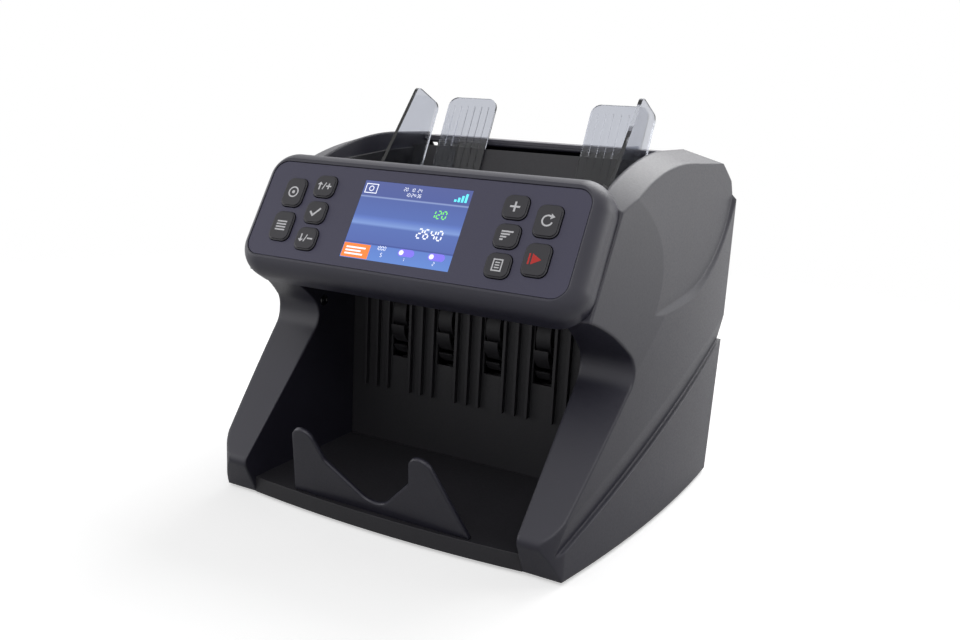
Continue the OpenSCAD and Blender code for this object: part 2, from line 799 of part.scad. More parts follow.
module hopper_guide_left() { side_guide(-guide_x, left_stem_s()); }
module hopper_guide_right() { side_guide(guide_x, right_stem_s()); }

// Rack tooth in (x, y), pointing to +y from the pitch line
module rack_tooth() {
    top = 0.35;
    root = 0.85;
    polygon([[-root, -tooth_down - 0.2], [root, -tooth_down - 0.2], [top, tooth_up], [-top, tooth_up]]);
}

// Slider with a rack; s is its pitch line, dir points to the pinion, the guide stands at x
module guide_slider(x, s, dir) {
    pitch = PI * module_mm;
    far = sign(x) * -16;
    low = min(x - 2, far);
    high = max(x + 2, far);
    first = ceil(low / pitch + 1);
    last = floor(high / pitch - 1);
    color("#e6e4dc") on_hopper() translate([0, 0, rack_low]) linear_extrude(rack_h) translate([0, s])
        scale([1, dir]) {
            translate([low, -tooth_down - rack_body]) square([high - low, rack_body]);
            for (i = [first : last]) if (abs(i * pitch) < 34) translate([i * pitch, 0]) rack_tooth();
        }
}

module guide_slider_left() { guide_slider(-guide_x, pinion_s - pinion_r, 1); }
module guide_slider_right() { guide_slider(guide_x, pinion_s + pinion_r, -1); }

// Pinion between the two racks, a gap of its ring facing each rack tooth
module guide_pinion() {
    root_r = pinion_r - tooth_down;
    half_tip = 0.32;
    half_root = 0.75;
    color("#e6e4dc") on_hopper() translate([0, pinion_s, rack_low]) linear_extrude(rack_h) difference() {
        union() {
            circle(root_r);
            for (i = [0 : pinion_teeth - 1]) rotate((i + 0.5) * 360 / pinion_teeth)
                polygon([[0, -half_root], [root_r, -half_root], [pinion_r + tooth_up - 0.2, -half_tip],
                    [pinion_r + tooth_up - 0.2, half_tip], [root_r, half_root], [0, half_root]]);
        }
        circle(post_r + run_gap);
    }
}

// Sheet rail under the sliders, tying the frame plates, with the pinion post
module guide_rail() {
    top = rack_low - rest_gap;
    color("#b9bcc0") on_hopper() {
        box([-frame_x, left_stem_s() - 4, top - rail_t], [frame_x, right_stem_s() + stem_w + 6, top]);
        translate([0, pinion_s, top - 0.5]) cylinder(r = post_r, h = rack_h + 0.5 + rest_gap + 1);
    }
}

// Clear ribbed paddle that leans on the hopper's rear wall
module rear_paddle(x) {
    corner = 7;
    rib_rise = 0.6;
    rib_w = 0.9;
    pitch = paddle_w / (paddle_ribs + 1);
    color([0.75, 0.78, 0.82, 0.5]) on_paddle() {
        rotate([90, 0, 0]) linear_extrude(paddle_t) {
            translate([x, paddle_foot]) square([paddle_w, paddle_len - corner]);
            translate([x + corner, paddle_foot]) square([paddle_w - 2 * corner, paddle_len]);
            for (c = [x + corner, x + paddle_w - corner])
                translate([c, paddle_foot + paddle_len - corner]) circle(corner);
        }
        for (i = [1 : paddle_ribs]) box([x + i * pitch - rib_w / 2, -paddle_t - rib_rise, paddle_foot],
            [x + i * pitch + rib_w / 2, -paddle_t + 0.2, paddle_foot + paddle_len - corner]);
    }
}

module rear_paddle_left() { rear_paddle(-paddle_x - paddle_w); }
module rear_paddle_right() { rear_paddle(paddle_x); }

// Rear cover: back wall, top flange and hinge knuckles
module rear_cover() {
    half = hopper_x - door_gap;
    low_out = rear_y - 4.7;
    color("#45444e") difference() {
        union() {
            along_x(-half, half) polygon([[lid_front_y, lid_z - 2 * wall], [rear_y - 6.5, lid_z - 2 * wall],
                [rear_y - wall, lid_z - 11], [rear_y - wall, rear_lean_z], [low_out - wall, door_low_z],
                [low_out, door_low_z], [rear_y, rear_lean_z], [rear_y, lid_z - 10], [rear_y - 5, lid_z - wall],
                [lid_front_y, lid_z - wall]]);
            for (x = [-1, 1]) {
                rod(hinge_c, knuckle_r, x * 76 - 14, x * 76 + 14);
                along_x(x * 76 - 14, x * 76 + 14) polygon([hinge_c, hinge_c + [knuckle_r, 0],
                    [low_out, door_low_z + 1], [low_out - wall, door_low_z + 1]]);
            }
        }
        rod(hinge_c, pin_r + run_gap, -200, 200);
    }
}

// Pale strip on top of the rear cover
module rear_lid() {
    half = hopper_x - door_gap;
    color("#a5a5aa") along_x(-half, half) polygon([[lid_front_y, lid_z - wall], [rear_y - 6, lid_z - wall],
        [rear_y - 8, lid_z], [lid_front_y, lid_z]]);
}

module rear_hinge_pin() {
    color("#c4c6c9") rod(hinge_c, pin_r, -97, 97);
}

// Recessed lower rear panel with the inlet opening, vents and hinge lugs
module lower_rear_panel() {
    half = hopper_x;
    color("#2c2b31") difference() {
        union() {
            box([-half, panel_back_y, bottom_z], [half, panel_back_y + wall, 52]);
            for (x = [-1, 1]) {
                rod(hinge_c, knuckle_r, x * 94 - 3, x * 94 + 3);
                box([x * 94 - 3, panel_back_y, 46], [x * 94 + 3, hinge_c[0] + 1, hinge_c[1] - 2]);
            }
        }
        rod(hinge_c, pin_r + run_gap, -200, 200);
        translate([inlet_c[0], 0, inlet_c[1]]) cube([inlet_w + 0.4, 400, inlet_h + 0.4], center = true);
        for (i = [0 : 9]) box([10 + i * 7, 0, 16], [13 + i * 7, rear_y, 40]);
    }
}

// Inlet and switch module: flange, body, socket recess with its three blades, rocker well
module power_inlet() {
    mouth_x = inlet_c[0] - 9;
    face_y = panel_back_y + wall + 2;
    body_y = face_y - 24;
    socket_d = 16;
    color("#141416") difference() {
        translate([inlet_c[0], 0, inlet_c[1]]) {
            box([-inlet_w / 2, body_y, -inlet_h / 2], [inlet_w / 2, face_y - 1, inlet_h / 2]);
            box([-inlet_w / 2 - inlet_flange, panel_back_y + wall, -inlet_h / 2 - inlet_flange],
                [inlet_w / 2 + inlet_flange, face_y, inlet_h / 2 + inlet_flange]);
        }
        box([mouth_x - 12.25, face_y - socket_d, inlet_c[1] - 8.25], [mouth_x + 12.25, face_y + cut, inlet_c[1] + 8.25]);
        box([rocker_x - 6.6, face_y - 12, inlet_c[1] - 11], [rocker_x + 6.6, face_y + cut, inlet_c[1] + 11]);
        for (x = [-1, 1]) rod([face_y - 4, inlet_c[1]], 1.05, rocker_x - 8.5, rocker_x + 8.5);
    }
    color("#b8b9bb") for (p = [[-7, -1], [7, -1], [0, 3]])
        box([mouth_x + p[0] - 1, face_y - socket_d - 1, inlet_c[1] + p[1] - 2],
            [mouth_x + p[0] + 1, face_y - 4, inlet_c[1] + p[1] + 2]);
}

// Rocker of the power switch on its two pivots, tipped to the off side
module power_rocker() {
    face_y = panel_back_y + wall + 2;
    color("#1a1a1c") translate([rocker_x, face_y - 4, inlet_c[1]]) rotate([rocker_deg, 0, 0]) {
        along_x(-6, 6) polygon([[-4, -4], [-4, 4], [2, 9], [3.4, 9], [2.2, 0], [3.4, -9], [2, -9]]);
        rod([0, 0], 1, -8, 8);
    }
}

// Bearing places of all shafts in the frame plates
function bearing_places() = [pick_c, feed_c, retard_c, transport_c, pinch_c, stacker_c];

// Steel frame plate on the side given by dir
module frame_plate(dir) {
    roof = -wall - 1;
    x0 = dir > 0 ? frame_x : -frame_x - frame_t;
    color("#b4b7bb") difference() {
        along_x(x0, x0 + frame_t) difference() {
            polygon([[frame_front_y, bottom_z + wall], [frame_rear_y, bottom_z + wall], [frame_rear_y, 150],
                [84, paddle_z - 2.5], [54, paddle_z - 4], hopper_point(hopper_len + 2, roof - 2),
                hopper_point(frame_roof_s(), roof)]);
            translate([40, 60]) circle(9);
            translate([95, 60]) circle(12);
        }
        for (c = bearing_places()) rod(c, bearing_r + fit, -200, 200);
        if (dir > 0) rod(motor_c, 9, 0, 200);
    }
}

// Where the front edge of the frame plates meets the hopper floor, along the slope
function frame_roof_s() = (frame_front_y - hopper_y - (-wall - 1) * sin(hopper_deg)) / cos(hopper_deg);

module frame_plate_left() { frame_plate(-1); }
module frame_plate_right() { frame_plate(1); }

// Flanged bearings of all shafts
module shaft_bearings() {
    color("#d9b25a") for (dir = [-1, 1], c = bearing_places()) difference() {
        union() {
            if (dir > 0) {
                rod(c, bearing_r, frame_x - 1, frame_x + frame_t);
                rod(c, bearing_r + 1.3, frame_x - 1.5, frame_x);
            } else {
                rod(c, bearing_r, -frame_x - frame_t, -frame_x + 1);
                rod(c, bearing_r + 1.3, -frame_x, -frame_x + 1.5);
            }
        }
        rod(c, shaft_r + run_gap, -200, 200);
    }
}

// Plain shaft between the frame plates, carried on to x1 for its pulley
module shaft(c, x1) {
    color("#c9cbce") rod(c, shaft_r, -frame_x - frame_t - 1, x1);
}

// Rollers of radius r and width w on a shaft at each x
module rollers(c, r, w, places) {
    for (x = places) difference() {
        rod(c, r, x - w / 2, x + w / 2);
        rod(c, shaft_r + fit, -200, 200);
    }
}

// Pick shaft with the pulley that is moulded on its end
module pick_shaft() {
    shaft(pick_c, plane_c + belt_w);
    color("#c9cbce") {
        rod(pick_c, pulley_pick_r, plane_c, plane_c + belt_w);
        rod(pick_c, pulley_pick_r + 1, plane_c - 1, plane_c);
    }
}

module pick_rollers() { color("#2b2b2e") rollers(pick_c, pick_r, 18, roller_x); }
module feed_shaft() { shaft(feed_c, plane_c + belt_w); }
module feed_rollers() { color("#2b2b2e") rollers(feed_c, feed_r, 24, roller_x); }
module transport_shaft() { shaft(transport_c, plane_c + belt_w); }
module transport_rollers() { color("#2b2b2e") rollers(transport_c, transport_r, 30, [-60, 0, 60]); }
module stacker_shaft() { shaft(stacker_c, plane_c + belt_w); }

// One-piece turned rollers with their journals
module retard_roller() {
    color("#7a7c80") {
        shaft(retard_c, frame_x + frame_t + 1);
        for (x = roller_x) rod(retard_c, retard_r, x - 10, x + 10);
    }
}

module pinch_roller() {
    color("#7a7c80") {
        shaft(pinch_c, frame_x + frame_t + 1);
        for (x = [-60, 0, 60]) rod(pinch_c, pinch_r, x - 13, x + 13);
    }
}

// Curved fin from the hub to the reach of the wheel
module stacker_fin() {
    fin_t = 1.3;
    arc_r = (stacker_r - 1) / 2;
    intersection() {
        translate([arc_r + 1, 0]) difference() {
            circle(arc_r);
            circle(arc_r - fin_t);
        }
        square([stacker_r + 5, stacker_r]);
    }
}

// Stacker wheels with swept fins
module stacker_wheels() {
    hub_r = 8.5;
    color("#2e3a8c") for (x = stacker_x) translate([x - stacker_t / 2, stacker_c[0], stacker_c[1]])
        rotate([90, 0, 90]) linear_extrude(stacker_t) difference() {
            union() {
                circle(hub_r);
                for (i = [0 : stacker_fins - 1]) rotate(i * 360 / stacker_fins) stacker_fin();
            }
            circle(shaft_r + fit);
        }
}

// Can motor with its end boss and shaft bush
module drive_motor() {
    color("#8d9094") {
        rod(motor_c, motor_r, frame_x - 58, frame_x);
        rod(motor_c, motor_r * 0.5, frame_x - 62, frame_x - 58);
        difference() {
            rod(motor_c, 8, frame_x - cut, frame_x + frame_t);
            rod(motor_c, 3 + run_gap, frame_x - 20, 200);
        }
    }
}

// Motor shaft and its pulley, turned in one piece
module motor_pulley() {
    color("#d8d8d4") {
        rod(motor_c, 3, frame_x + 0.2, plane_a + belt_w);
        pulley_ring(motor_c, pulley_motor_r, plane_a);
    }
}

// Flanged belt ring of radius r in the belt plane at x
module pulley_ring(c, r, x) {
    rod(c, r, x, x + belt_w);
    rod(c, r + 1, x - 1, x);
    rod(c, r + 1, x + belt_w, x + belt_w + 1);
}

module transport_pulley() {
    color("#d8d8d4") difference() {
        union() {
            pulley_ring(transport_c, pulley_big_r, plane_a);
            pulley_ring(transport_c, pulley_mid_r, plane_b);
            pulley_ring(transport_c, pulley_mid_r, plane_c);
        }
        rod(transport_c, shaft_r + fit, 0, 200);
    }
}

module feed_pulley() {
    color("#d8d8d4") difference() {
        union() {
            pulley_ring(feed_c, pulley_mid_r, plane_b);
            pulley_ring(feed_c, pulley_mid_r, plane_c);
        }
        rod(feed_c, shaft_r + fit, 0, 200);
    }
}

module stacker_pulley() {
    color("#d8d8d4") difference() {
        pulley_ring(stacker_c, pulley_stack_r, plane_c);
        rod(stacker_c, shaft_r + fit, 0, 200);
    }
}

// Outline of a belt run round two circles, as (y, z)
module belt_run(a, ra, b, rb) {
    d = b - a;
    n = norm(d);
    lean = asin((ra - rb) / n);
    turn = atan2(d[1], d[0]);
    up = turn + 90 - lean;
    low = turn - 90 + lean;
    translate(a) circle(ra);
    translate(b) circle(rb);
    polygon([a + (ra - lap) * [cos(up), sin(up)], b + (rb - lap) * [cos(up), sin(up)],
        b + (rb - lap) * [cos(low), sin(low)], a + (ra - lap) * [cos(low), sin(low)]]);
}

// Belt over two pulleys in the plane at x
module belt(a, ra, b, rb, x) {
    along_x(x + 0.3, x + belt_w - 0.3) difference() {
        belt_run(a, ra + belt_gap + belt_t, b, rb + belt_gap + belt_t);
        belt_run(a, ra + belt_gap, b, rb + belt_gap);
    }
}

module drive_belts() {
    color("#101012") {
        belt(motor_c, pulley_motor_r, transport_c, pulley_big_r, plane_a);
        belt(transport_c, pulley_mid_r, feed_c, pulley_mid_r, plane_b);
        belt(transport_c, pulley_mid_r, stacker_c, pulley_stack_r, plane_c);
        belt(feed_c, pulley_mid_r, pick_c, pulley_pick_r, plane_c);
    }
}

// Image sensor bar between the frame plates, with its glass step
module sensor_bar() {
    color("#18181b") {
        box([-frame_x, 46, 130], [frame_x, 58, 144]);
        box([-frame_x + 8, 57, 133], [frame_x - 8, 60, 141]);
    }
}

// Main board on stand-offs outside the left frame plate, with its larger components
module main_board() {
    face = -frame_x - frame_t - 2.4;
    color("#2f5b3c") {
        box([face - board_t, 16, 22], [face, 104, 92]);
        for (y = [22, 98], z = [28, 86]) rod([y, z], 3, face - cut, -frame_x - frame_t);
        box([face - board_t - 4, 30, 62], [face - board_t + 0.2, 50, 82]);
        box([face - board_t - 3, 62, 58], [face - board_t + 0.2, 76, 72]);
        for (z = [30, 40, 50]) box([face - board_t - 7, 84, z], [face - board_t + 0.2, 100, z + 7]);
    }
}

// Power supply board on the base with transformer, capacitor and heat sink
module power_supply() {
    low = bottom_z + wall;
    color("#5b6b3a") {
        box([-84, 14, low + 4], [4, 86, low + 6]);
        for (x = [-79, -1], y = [19, 81]) translate([x, y, low]) cylinder(r = 3, h = 5);
        box([-60, 24, low + 5.5], [-28, 54, low + 34]);
        translate([-12, 36, low + 5.5]) cylinder(r = 9, h = 28);
        for (i = [0 : 4]) box([-76 + i * 14, 62, low + 5.5], [-74 + i * 14, 80, low + 28]);
        box([-76, 70, low + 5.5], [-18, 72, low + 28]);
    }
}

// Screws that hold the side covers from the rear
module cover_screws() {
    color("#6b6d70") for (x = [-1, 1], z = screw_z) translate([x * screw_x, rear_y - screw_seat(z), z]) rotate([90, 0, 0]) {
        translate([0, 0, -head_h]) difference() {
            cylinder(r = head_r, h = head_h);
            for (a = [0, 90]) rotate(a) translate([0, 0, 0.6]) cube([4.4, 0.9, 2.4], center = true);
        }
        translate([0, 0, -0.1]) cylinder(r = screw_r, h = 11);
    }
}

base_tray();
left_side_cover();
right_side_cover();
control_panel_housing();
panel_overlay();
display_window();
display_module();
key_up();
key_confirm();
key_down();
key_currency();
key_batch();
key_add();
key_sort();
key_report();
key_mode();
key_start();
key_boards();
hopper_floor();
hopper_guide_left();
hopper_guide_right();
guide_slider_left();
guide_slider_right();
guide_pinion();
guide_rail();
rear_paddle_left();
rear_paddle_right();
rear_cover();
rear_lid();
rear_hinge_pin();
lower_rear_panel();
power_inlet();
power_rocker();
frame_plate_left();
frame_plate_right();
shaft_bearings();
pick_shaft();
pick_rollers();
feed_shaft();
feed_rollers();
retard_roller();
transport_shaft();
transport_rollers();
pinch_roller();
stacker_shaft();
stacker_wheels();
drive_motor();
motor_pulley();
transport_pulley();
feed_pulley();
stacker_pulley();
drive_belts();
sensor_bar();
main_board();
power_supply();
front_stop_plate();
pocket_back_wall();
rubber_feet();
cover_screws();
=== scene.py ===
"""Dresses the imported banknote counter: finishes, key marks, screen picture, pocket sensors and studio.

Lengths are metres unless a name ends in _mm. +X is right, the front faces -Y and +Z is up.
"""

from __future__ import annotations

import json
import logging
import math
from dataclasses import dataclass, field
from enum import Enum
from typing import Any, Callable, Iterable, Mapping, Sequence

import bmesh
import bpy
from mathutils import Matrix, Vector

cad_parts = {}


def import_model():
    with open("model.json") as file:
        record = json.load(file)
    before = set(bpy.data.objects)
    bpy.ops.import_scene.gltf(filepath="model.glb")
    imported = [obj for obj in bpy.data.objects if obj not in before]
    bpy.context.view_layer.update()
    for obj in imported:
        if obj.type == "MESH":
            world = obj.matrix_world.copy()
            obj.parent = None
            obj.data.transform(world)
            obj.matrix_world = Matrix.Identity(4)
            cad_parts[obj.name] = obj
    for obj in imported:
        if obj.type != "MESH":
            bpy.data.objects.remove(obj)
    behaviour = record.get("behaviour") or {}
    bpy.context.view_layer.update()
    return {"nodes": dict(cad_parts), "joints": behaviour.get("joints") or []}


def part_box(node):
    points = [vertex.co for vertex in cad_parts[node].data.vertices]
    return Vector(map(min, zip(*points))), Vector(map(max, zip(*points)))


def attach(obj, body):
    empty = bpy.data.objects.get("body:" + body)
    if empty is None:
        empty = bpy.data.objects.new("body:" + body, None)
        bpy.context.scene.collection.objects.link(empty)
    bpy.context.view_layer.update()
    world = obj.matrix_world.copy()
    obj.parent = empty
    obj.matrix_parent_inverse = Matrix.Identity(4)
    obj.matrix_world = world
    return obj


LOG = logging.getLogger("banknote_counter")
MM = 0.001
# Range that a noise pattern mostly keeps to
NOISE_LOW, NOISE_HIGH = 0.3, 0.7
# Agreement of the rounded and the true normal where an edge starts and where it is sharpest
EDGE_START, EDGE_FULL = 0.98, 0.80
# How much paler the painted highlight along an edge is than the skin
EDGE_HIGHLIGHT_GAIN = 2.2
# Least cosine that a mitred corner of a line is drawn with
MITRE_LIMIT = 0.3
# Share of an arrow's length that its head takes
HEAD_SHARE = 0.36
Point = tuple[float, float]
Nodes = Mapping[str, bpy.types.Object]


# Colour and node helpers

def linear(colour: str, gain: float = 1.0) -> tuple[float, float, float, float]:
    """Turns an sRGB hex colour to linear light.

    Args:
        colour: Hex colour such as "#3d3c45".
        gain: Factor on the linear value.

    Returns:
        Linear red, green, blue and an alpha of 1.
    """
    parts = [int(colour[i : i + 2], 16) / 255 for i in (1, 3, 5)]
    light = [p / 12.92 if p <= 0.04045 else ((p + 0.055) / 1.055) ** 2.4 for p in parts]
    red, green, blue = (min(1.0, gain * p) for p in light)
    return red, green, blue, 1.0


def add_node(
    tree: bpy.types.NodeTree,
    kind: str,
    links: Mapping[Any, bpy.types.NodeSocket] | None = None,
    values: Mapping[Any, Any] | None = None,
    **settings: Any,
) -> bpy.types.Node:
    """Adds a node with its settings, socket values and links.

    Args:
        tree: Node tree that takes the node.
        kind: Blender's name of the node type.
        links: Output sockets by the input that each feeds.
        values: Constants by input.
        settings: Properties of the node itself.

    Returns:
        The new node.
    """
    node = tree.nodes.new(kind)
    for key, value in settings.items():
        setattr(node, key, value)
    for key, value in (values or {}).items():
        node.inputs[key].default_value = value
    for key, socket in (links or {}).items():
        tree.links.new(socket, node.inputs[key])
    return node


def set_ramp(ramp: bpy.types.ColorRamp, stops: Sequence[tuple[float, tuple[float, ...]]]) -> None:
    """Fills a colour ramp.

    Args:
        ramp: Ramp with Blender's two first stops.
        stops: Place and linear colour of each stop, in rising order.
    """
    while len(ramp.elements) < len(stops):
        ramp.elements.new(1.0)
    for element, (place, colour) in zip(ramp.elements, stops):
        element.position = place
        element.color = colour


def seen_directly(tree: bpy.types.NodeTree) -> bpy.types.NodeSocket:
    """Tells rays of the camera, of gloss and of glass from the light that bounces.

    Args:
        tree: Node tree of the world or of the floor.

    Returns:
        Socket that is 1 for what is seen, and 0 for bounced light.
    """
    path = add_node(tree, "ShaderNodeLightPath")
    seen = path.outputs["Is Camera Ray"]
    for name in ("Is Glossy Ray", "Is Transmission Ray"):
        either = add_node(tree, "ShaderNodeMath", {0: seen, 1: path.outputs[name]}, operation="MAXIMUM")
        seen = either.outputs[0]
    return seen


# Finishes

class Lay(Enum):
    """Which way the tool marks of a metal run."""

    TURNED = (1.0, 0.02, 0.02)
    BRUSHED = (0.02, 1.0, 0.05)


@dataclass(frozen=True)
class Finish:
    """A surface finish, which makes its material on first use."""

    name: str
    colour: str
    roughness: float

    def material(self) -> bpy.types.Material:
        """Makes the material, or finds it again.

        Returns:
            The material with its nodes.
        """
        found = bpy.data.materials.get(self.name)
        if found is not None:
            return found
        material = bpy.data.materials.new(self.name)
        material.use_nodes = True
        tree = material.node_tree
        shader = tree.nodes["Principled BSDF"]
        shader.inputs["Base Color"].default_value = linear(self.colour)
        shader.inputs["Roughness"].default_value = self.roughness
        place = add_node(tree, "ShaderNodeTexCoord").outputs["Object"]
        self.fill(tree, shader, place)
        return material

    def fill(self, tree: bpy.types.NodeTree, shader: bpy.types.Node, place: bpy.types.NodeSocket) -> None:
        """Adds what the finish has beside colour and roughness.

        Args:
            tree: The material's tree.
            shader: Its Principled shader.
            place: Object coordinates, which are metres in the part's frame.
        """
        raise NotImplementedError


@dataclass(frozen=True)
class Grained(Finish):
    """Opaque skin with a fine relief: moulded plastic, rubber or baked coating."""

    ior: float = 1.53
    grain_mm: float = 1.1
    relief_mm: float = 0.035
    edge_mm: float = 0.6
    mottle: float = 0.10
    # Strength of the painted highlight that lightens every edge
    edge_highlight: float = 0.35
    cloud_mm: float = 45.0
    spread: float = 0.05

    def fill(self, tree: bpy.types.NodeTree, shader: bpy.types.Node, place: bpy.types.NodeSocket) -> None:
        """Adds grain, soft edges, faint mottling and a painted highlight that makes every edge lighter.

        Args:
            tree: The material's tree.
            shader: Its Principled shader.
            place: Object coordinates, in metres.
        """
        shader.inputs["IOR"].default_value = self.ior
        grain = add_node(
            tree, "ShaderNodeTexNoise", {"Vector": place},
            {"Scale": 1 / (self.grain_mm * MM), "Detail": 2.0, "Roughness": 0.55},
        )
        soft = add_node(tree, "ShaderNodeBevel", values={"Radius": self.edge_mm * MM}, samples=8)
        relief = add_node(
            tree, "ShaderNodeBump",
            {"Height": grain.outputs["Fac"], "Normal": soft.outputs["Normal"]},
            {"Strength": 1.0, "Distance": self.relief_mm * MM},
        )
        cloud = add_node(
            tree, "ShaderNodeTexNoise", {"Vector": place},
            {"Scale": 1 / (self.cloud_mm * MM), "Detail": 3.0},
        )
        tone = add_node(tree, "ShaderNodeValToRGB", {"Fac": cloud.outputs["Fac"]})
        set_ramp(tone.color_ramp, [
            (NOISE_LOW, linear(self.colour, 1 - self.mottle)),
            (NOISE_HIGH, linear(self.colour, 1 + self.mottle)),
        ])
        true_normal = add_node(tree, "ShaderNodeNewGeometry").outputs["Normal"]
        flatness = add_node(
            tree, "ShaderNodeVectorMath", {0: soft.outputs["Normal"], 1: true_normal},
            operation="DOT_PRODUCT",
        )
        # Painted highlight: the skin is painted paler wherever the rounded normal leaves the true normal,
        # which is along every edge
        painted_edge_highlight = add_node(
            tree, "ShaderNodeMapRange", {"Value": flatness.outputs["Value"]},
            {"From Min": EDGE_START, "From Max": EDGE_FULL, "To Min": 0.0, "To Max": self.edge_highlight},
        )
        highlighted_tone = add_node(
            tree, "ShaderNodeMix", {0: painted_edge_highlight.outputs["Result"], 6: tone.outputs["Color"]},
            {7: linear(self.colour, EDGE_HIGHLIGHT_GAIN)}, data_type="RGBA",
        )
        gloss = add_node(
            tree, "ShaderNodeMapRange", {"Value": grain.outputs["Fac"]},
            {"From Min": NOISE_LOW, "From Max": NOISE_HIGH,
             "To Min": self.roughness - self.spread, "To Max": self.roughness + self.spread},
        )
        tree.links.new(highlighted_tone.outputs[2], shader.inputs["Base Color"])
        tree.links.new(gloss.outputs["Result"], shader.inputs["Roughness"])
        tree.links.new(relief.outputs["Normal"], shader.inputs["Normal"])


@dataclass(frozen=True)
class ClearSheet(Finish):
    """Clear plastic sheet, cut and flame-polished: faint haze and hairline rubs."""

    ior: float = 1.49
    rub_mm: float = 3.0
    rub_range: tuple[float, float] = (0.35, 0.75)
    haze: float = 0.06

    def fill(self, tree: bpy.types.NodeTree, shader: bpy.types.Node, place: bpy.types.NodeSocket) -> None:
        """Adds transmission and rubs that break the gloss.

        Args:
            tree: The material's tree.
            shader: Its Principled shader.
            place: Object coordinates, in metres.
        """
        shader.inputs["IOR"].default_value = self.ior
        shader.inputs["Transmission Weight"].default_value = 1.0
        rubs = add_node(
            tree, "ShaderNodeTexNoise", {"Vector": place},
            {"Scale": 1 / (self.rub_mm * MM), "Detail": 4.0, "Distortion": 1.5},
        )
        low, high = self.rub_range
        gloss = add_node(
            tree, "ShaderNodeMapRange", {"Value": rubs.outputs["Fac"]},
            {"From Min": low, "From Max": high,
             "To Min": self.roughness, "To Max": self.roughness + self.haze},
        )
        tree.links.new(gloss.outputs["Result"], shader.inputs["Roughness"])


@dataclass(frozen=True)
class Metal(Finish):
    """Bare metal with the marks of the tool that made it."""

    lay: Lay
    line_mm: float
    relief_mm: float = 0.02
    spread: float = 0.1
    dark: float = 0.8
    bright: float = 1.1

    def fill(self, tree: bpy.types.NodeTree, shader: bpy.types.Node, place: bpy.types.NodeSocket) -> None:
        """Adds tool marks to the gloss and the relief.

        Args:
            tree: The material's tree.
            shader: Its Principled shader.
            place: Object coordinates, in metres.
        """
        shader.inputs["Metallic"].default_value = 1.0
        along = add_node(tree, "ShaderNodeMapping", {"Vector": place}, {"Scale": self.lay.value})
        marks = add_node(
            tree, "ShaderNodeTexNoise", {"Vector": along.outputs["Vector"]},
            {"Scale": 1 / (self.line_mm * MM), "Detail": 3.0},
        )
        tone = add_node(tree, "ShaderNodeValToRGB", {"Fac": marks.outputs["Fac"]})
        set_ramp(tone.color_ramp, [
            (0.25, linear(self.colour, self.dark)),
            (0.75, linear(self.colour, self.bright)),
        ])
        gloss = add_node(
            tree, "ShaderNodeMapRange", {"Value": marks.outputs["Fac"]},
            {"To Min": self.roughness - self.spread, "To Max": self.roughness + self.spread},
        )
        relief = add_node(
            tree, "ShaderNodeBump", {"Height": marks.outputs["Fac"]},
            {"Strength": 0.6, "Distance": self.relief_mm * MM},
        )
        tree.links.new(tone.outputs["Color"], shader.inputs["Base Color"])
        tree.links.new(gloss.outputs["Result"], shader.inputs["Roughness"])
        tree.links.new(relief.outputs["Normal"], shader.inputs["Normal"])


@dataclass(frozen=True)
class CircuitBoard(Finish):
    """Glass-epoxy board under solder mask: tracks show as paler, raised lines."""

    ior: float = 1.55
    track: str = "#3f7a55"
    pitch_mm: float = 2.54
    relief_mm: float = 0.04

    def fill(self, tree: bpy.types.NodeTree, shader: bpy.types.Node, place: bpy.types.NodeSocket) -> None:
        """Adds a grid of tracks at the pitch of board parts.

        Args:
            tree: The material's tree.
            shader: Its Principled shader.
            place: Object coordinates, in metres.
        """
        shader.inputs["IOR"].default_value = self.ior
        tracks = add_node(
            tree, "ShaderNodeTexBrick", {"Vector": place},
            {"Color1": linear(self.colour), "Color2": linear(self.colour, 0.8), "Mortar": linear(self.track),
             "Scale": 0.25 / (self.pitch_mm * MM), "Mortar Size": 0.03},
        )
        relief = add_node(
            tree, "ShaderNodeBump", {"Height": tracks.outputs["Fac"]},
            {"Strength": 1.0, "Distance": self.relief_mm * MM},
        )
        tree.links.new(tracks.outputs["Color"], shader.inputs["Base Color"])
        tree.links.new(relief.outputs["Normal"], shader.inputs["Normal"])


@dataclass(frozen=True)
class LiquidCrystal(Finish):
    """Lit liquid-crystal screen: rows of blue light under a smooth clear face."""

    up: tuple[float, float, float] = (0.0, 0.0, 1.0)
    low: float = 0.0
    high: float = 1.0
    rows: tuple[tuple[float, str], ...] = ()
    strength: float = 0.75
    ior: float = 1.5

    def fill(self, tree: bpy.types.NodeTree, shader: bpy.types.Node, place: bpy.types.NodeSocket) -> None:
        """Adds the rows of light, from the screen's foot to its head.

        Args:
            tree: The material's tree.
            shader: Its Principled shader.
            place: Object coordinates, in metres.
        """
        shader.inputs["IOR"].default_value = self.ior
        shader.inputs["Emission Strength"].default_value = self.strength
        climb = add_node(
            tree, "ShaderNodeVectorMath", {0: place}, {1: self.up}, operation="DOT_PRODUCT",
        )
        share = add_node(
            tree, "ShaderNodeMapRange", {"Value": climb.outputs["Value"]},
            {"From Min": self.low, "From Max": self.high},
        )
        light = add_node(tree, "ShaderNodeValToRGB", {"Fac": share.outputs["Result"]})
        set_ramp(light.color_ramp, [(stop, linear(colour)) for stop, colour in self.rows])
        tree.links.new(light.outputs["Color"], shader.inputs["Emission Color"])


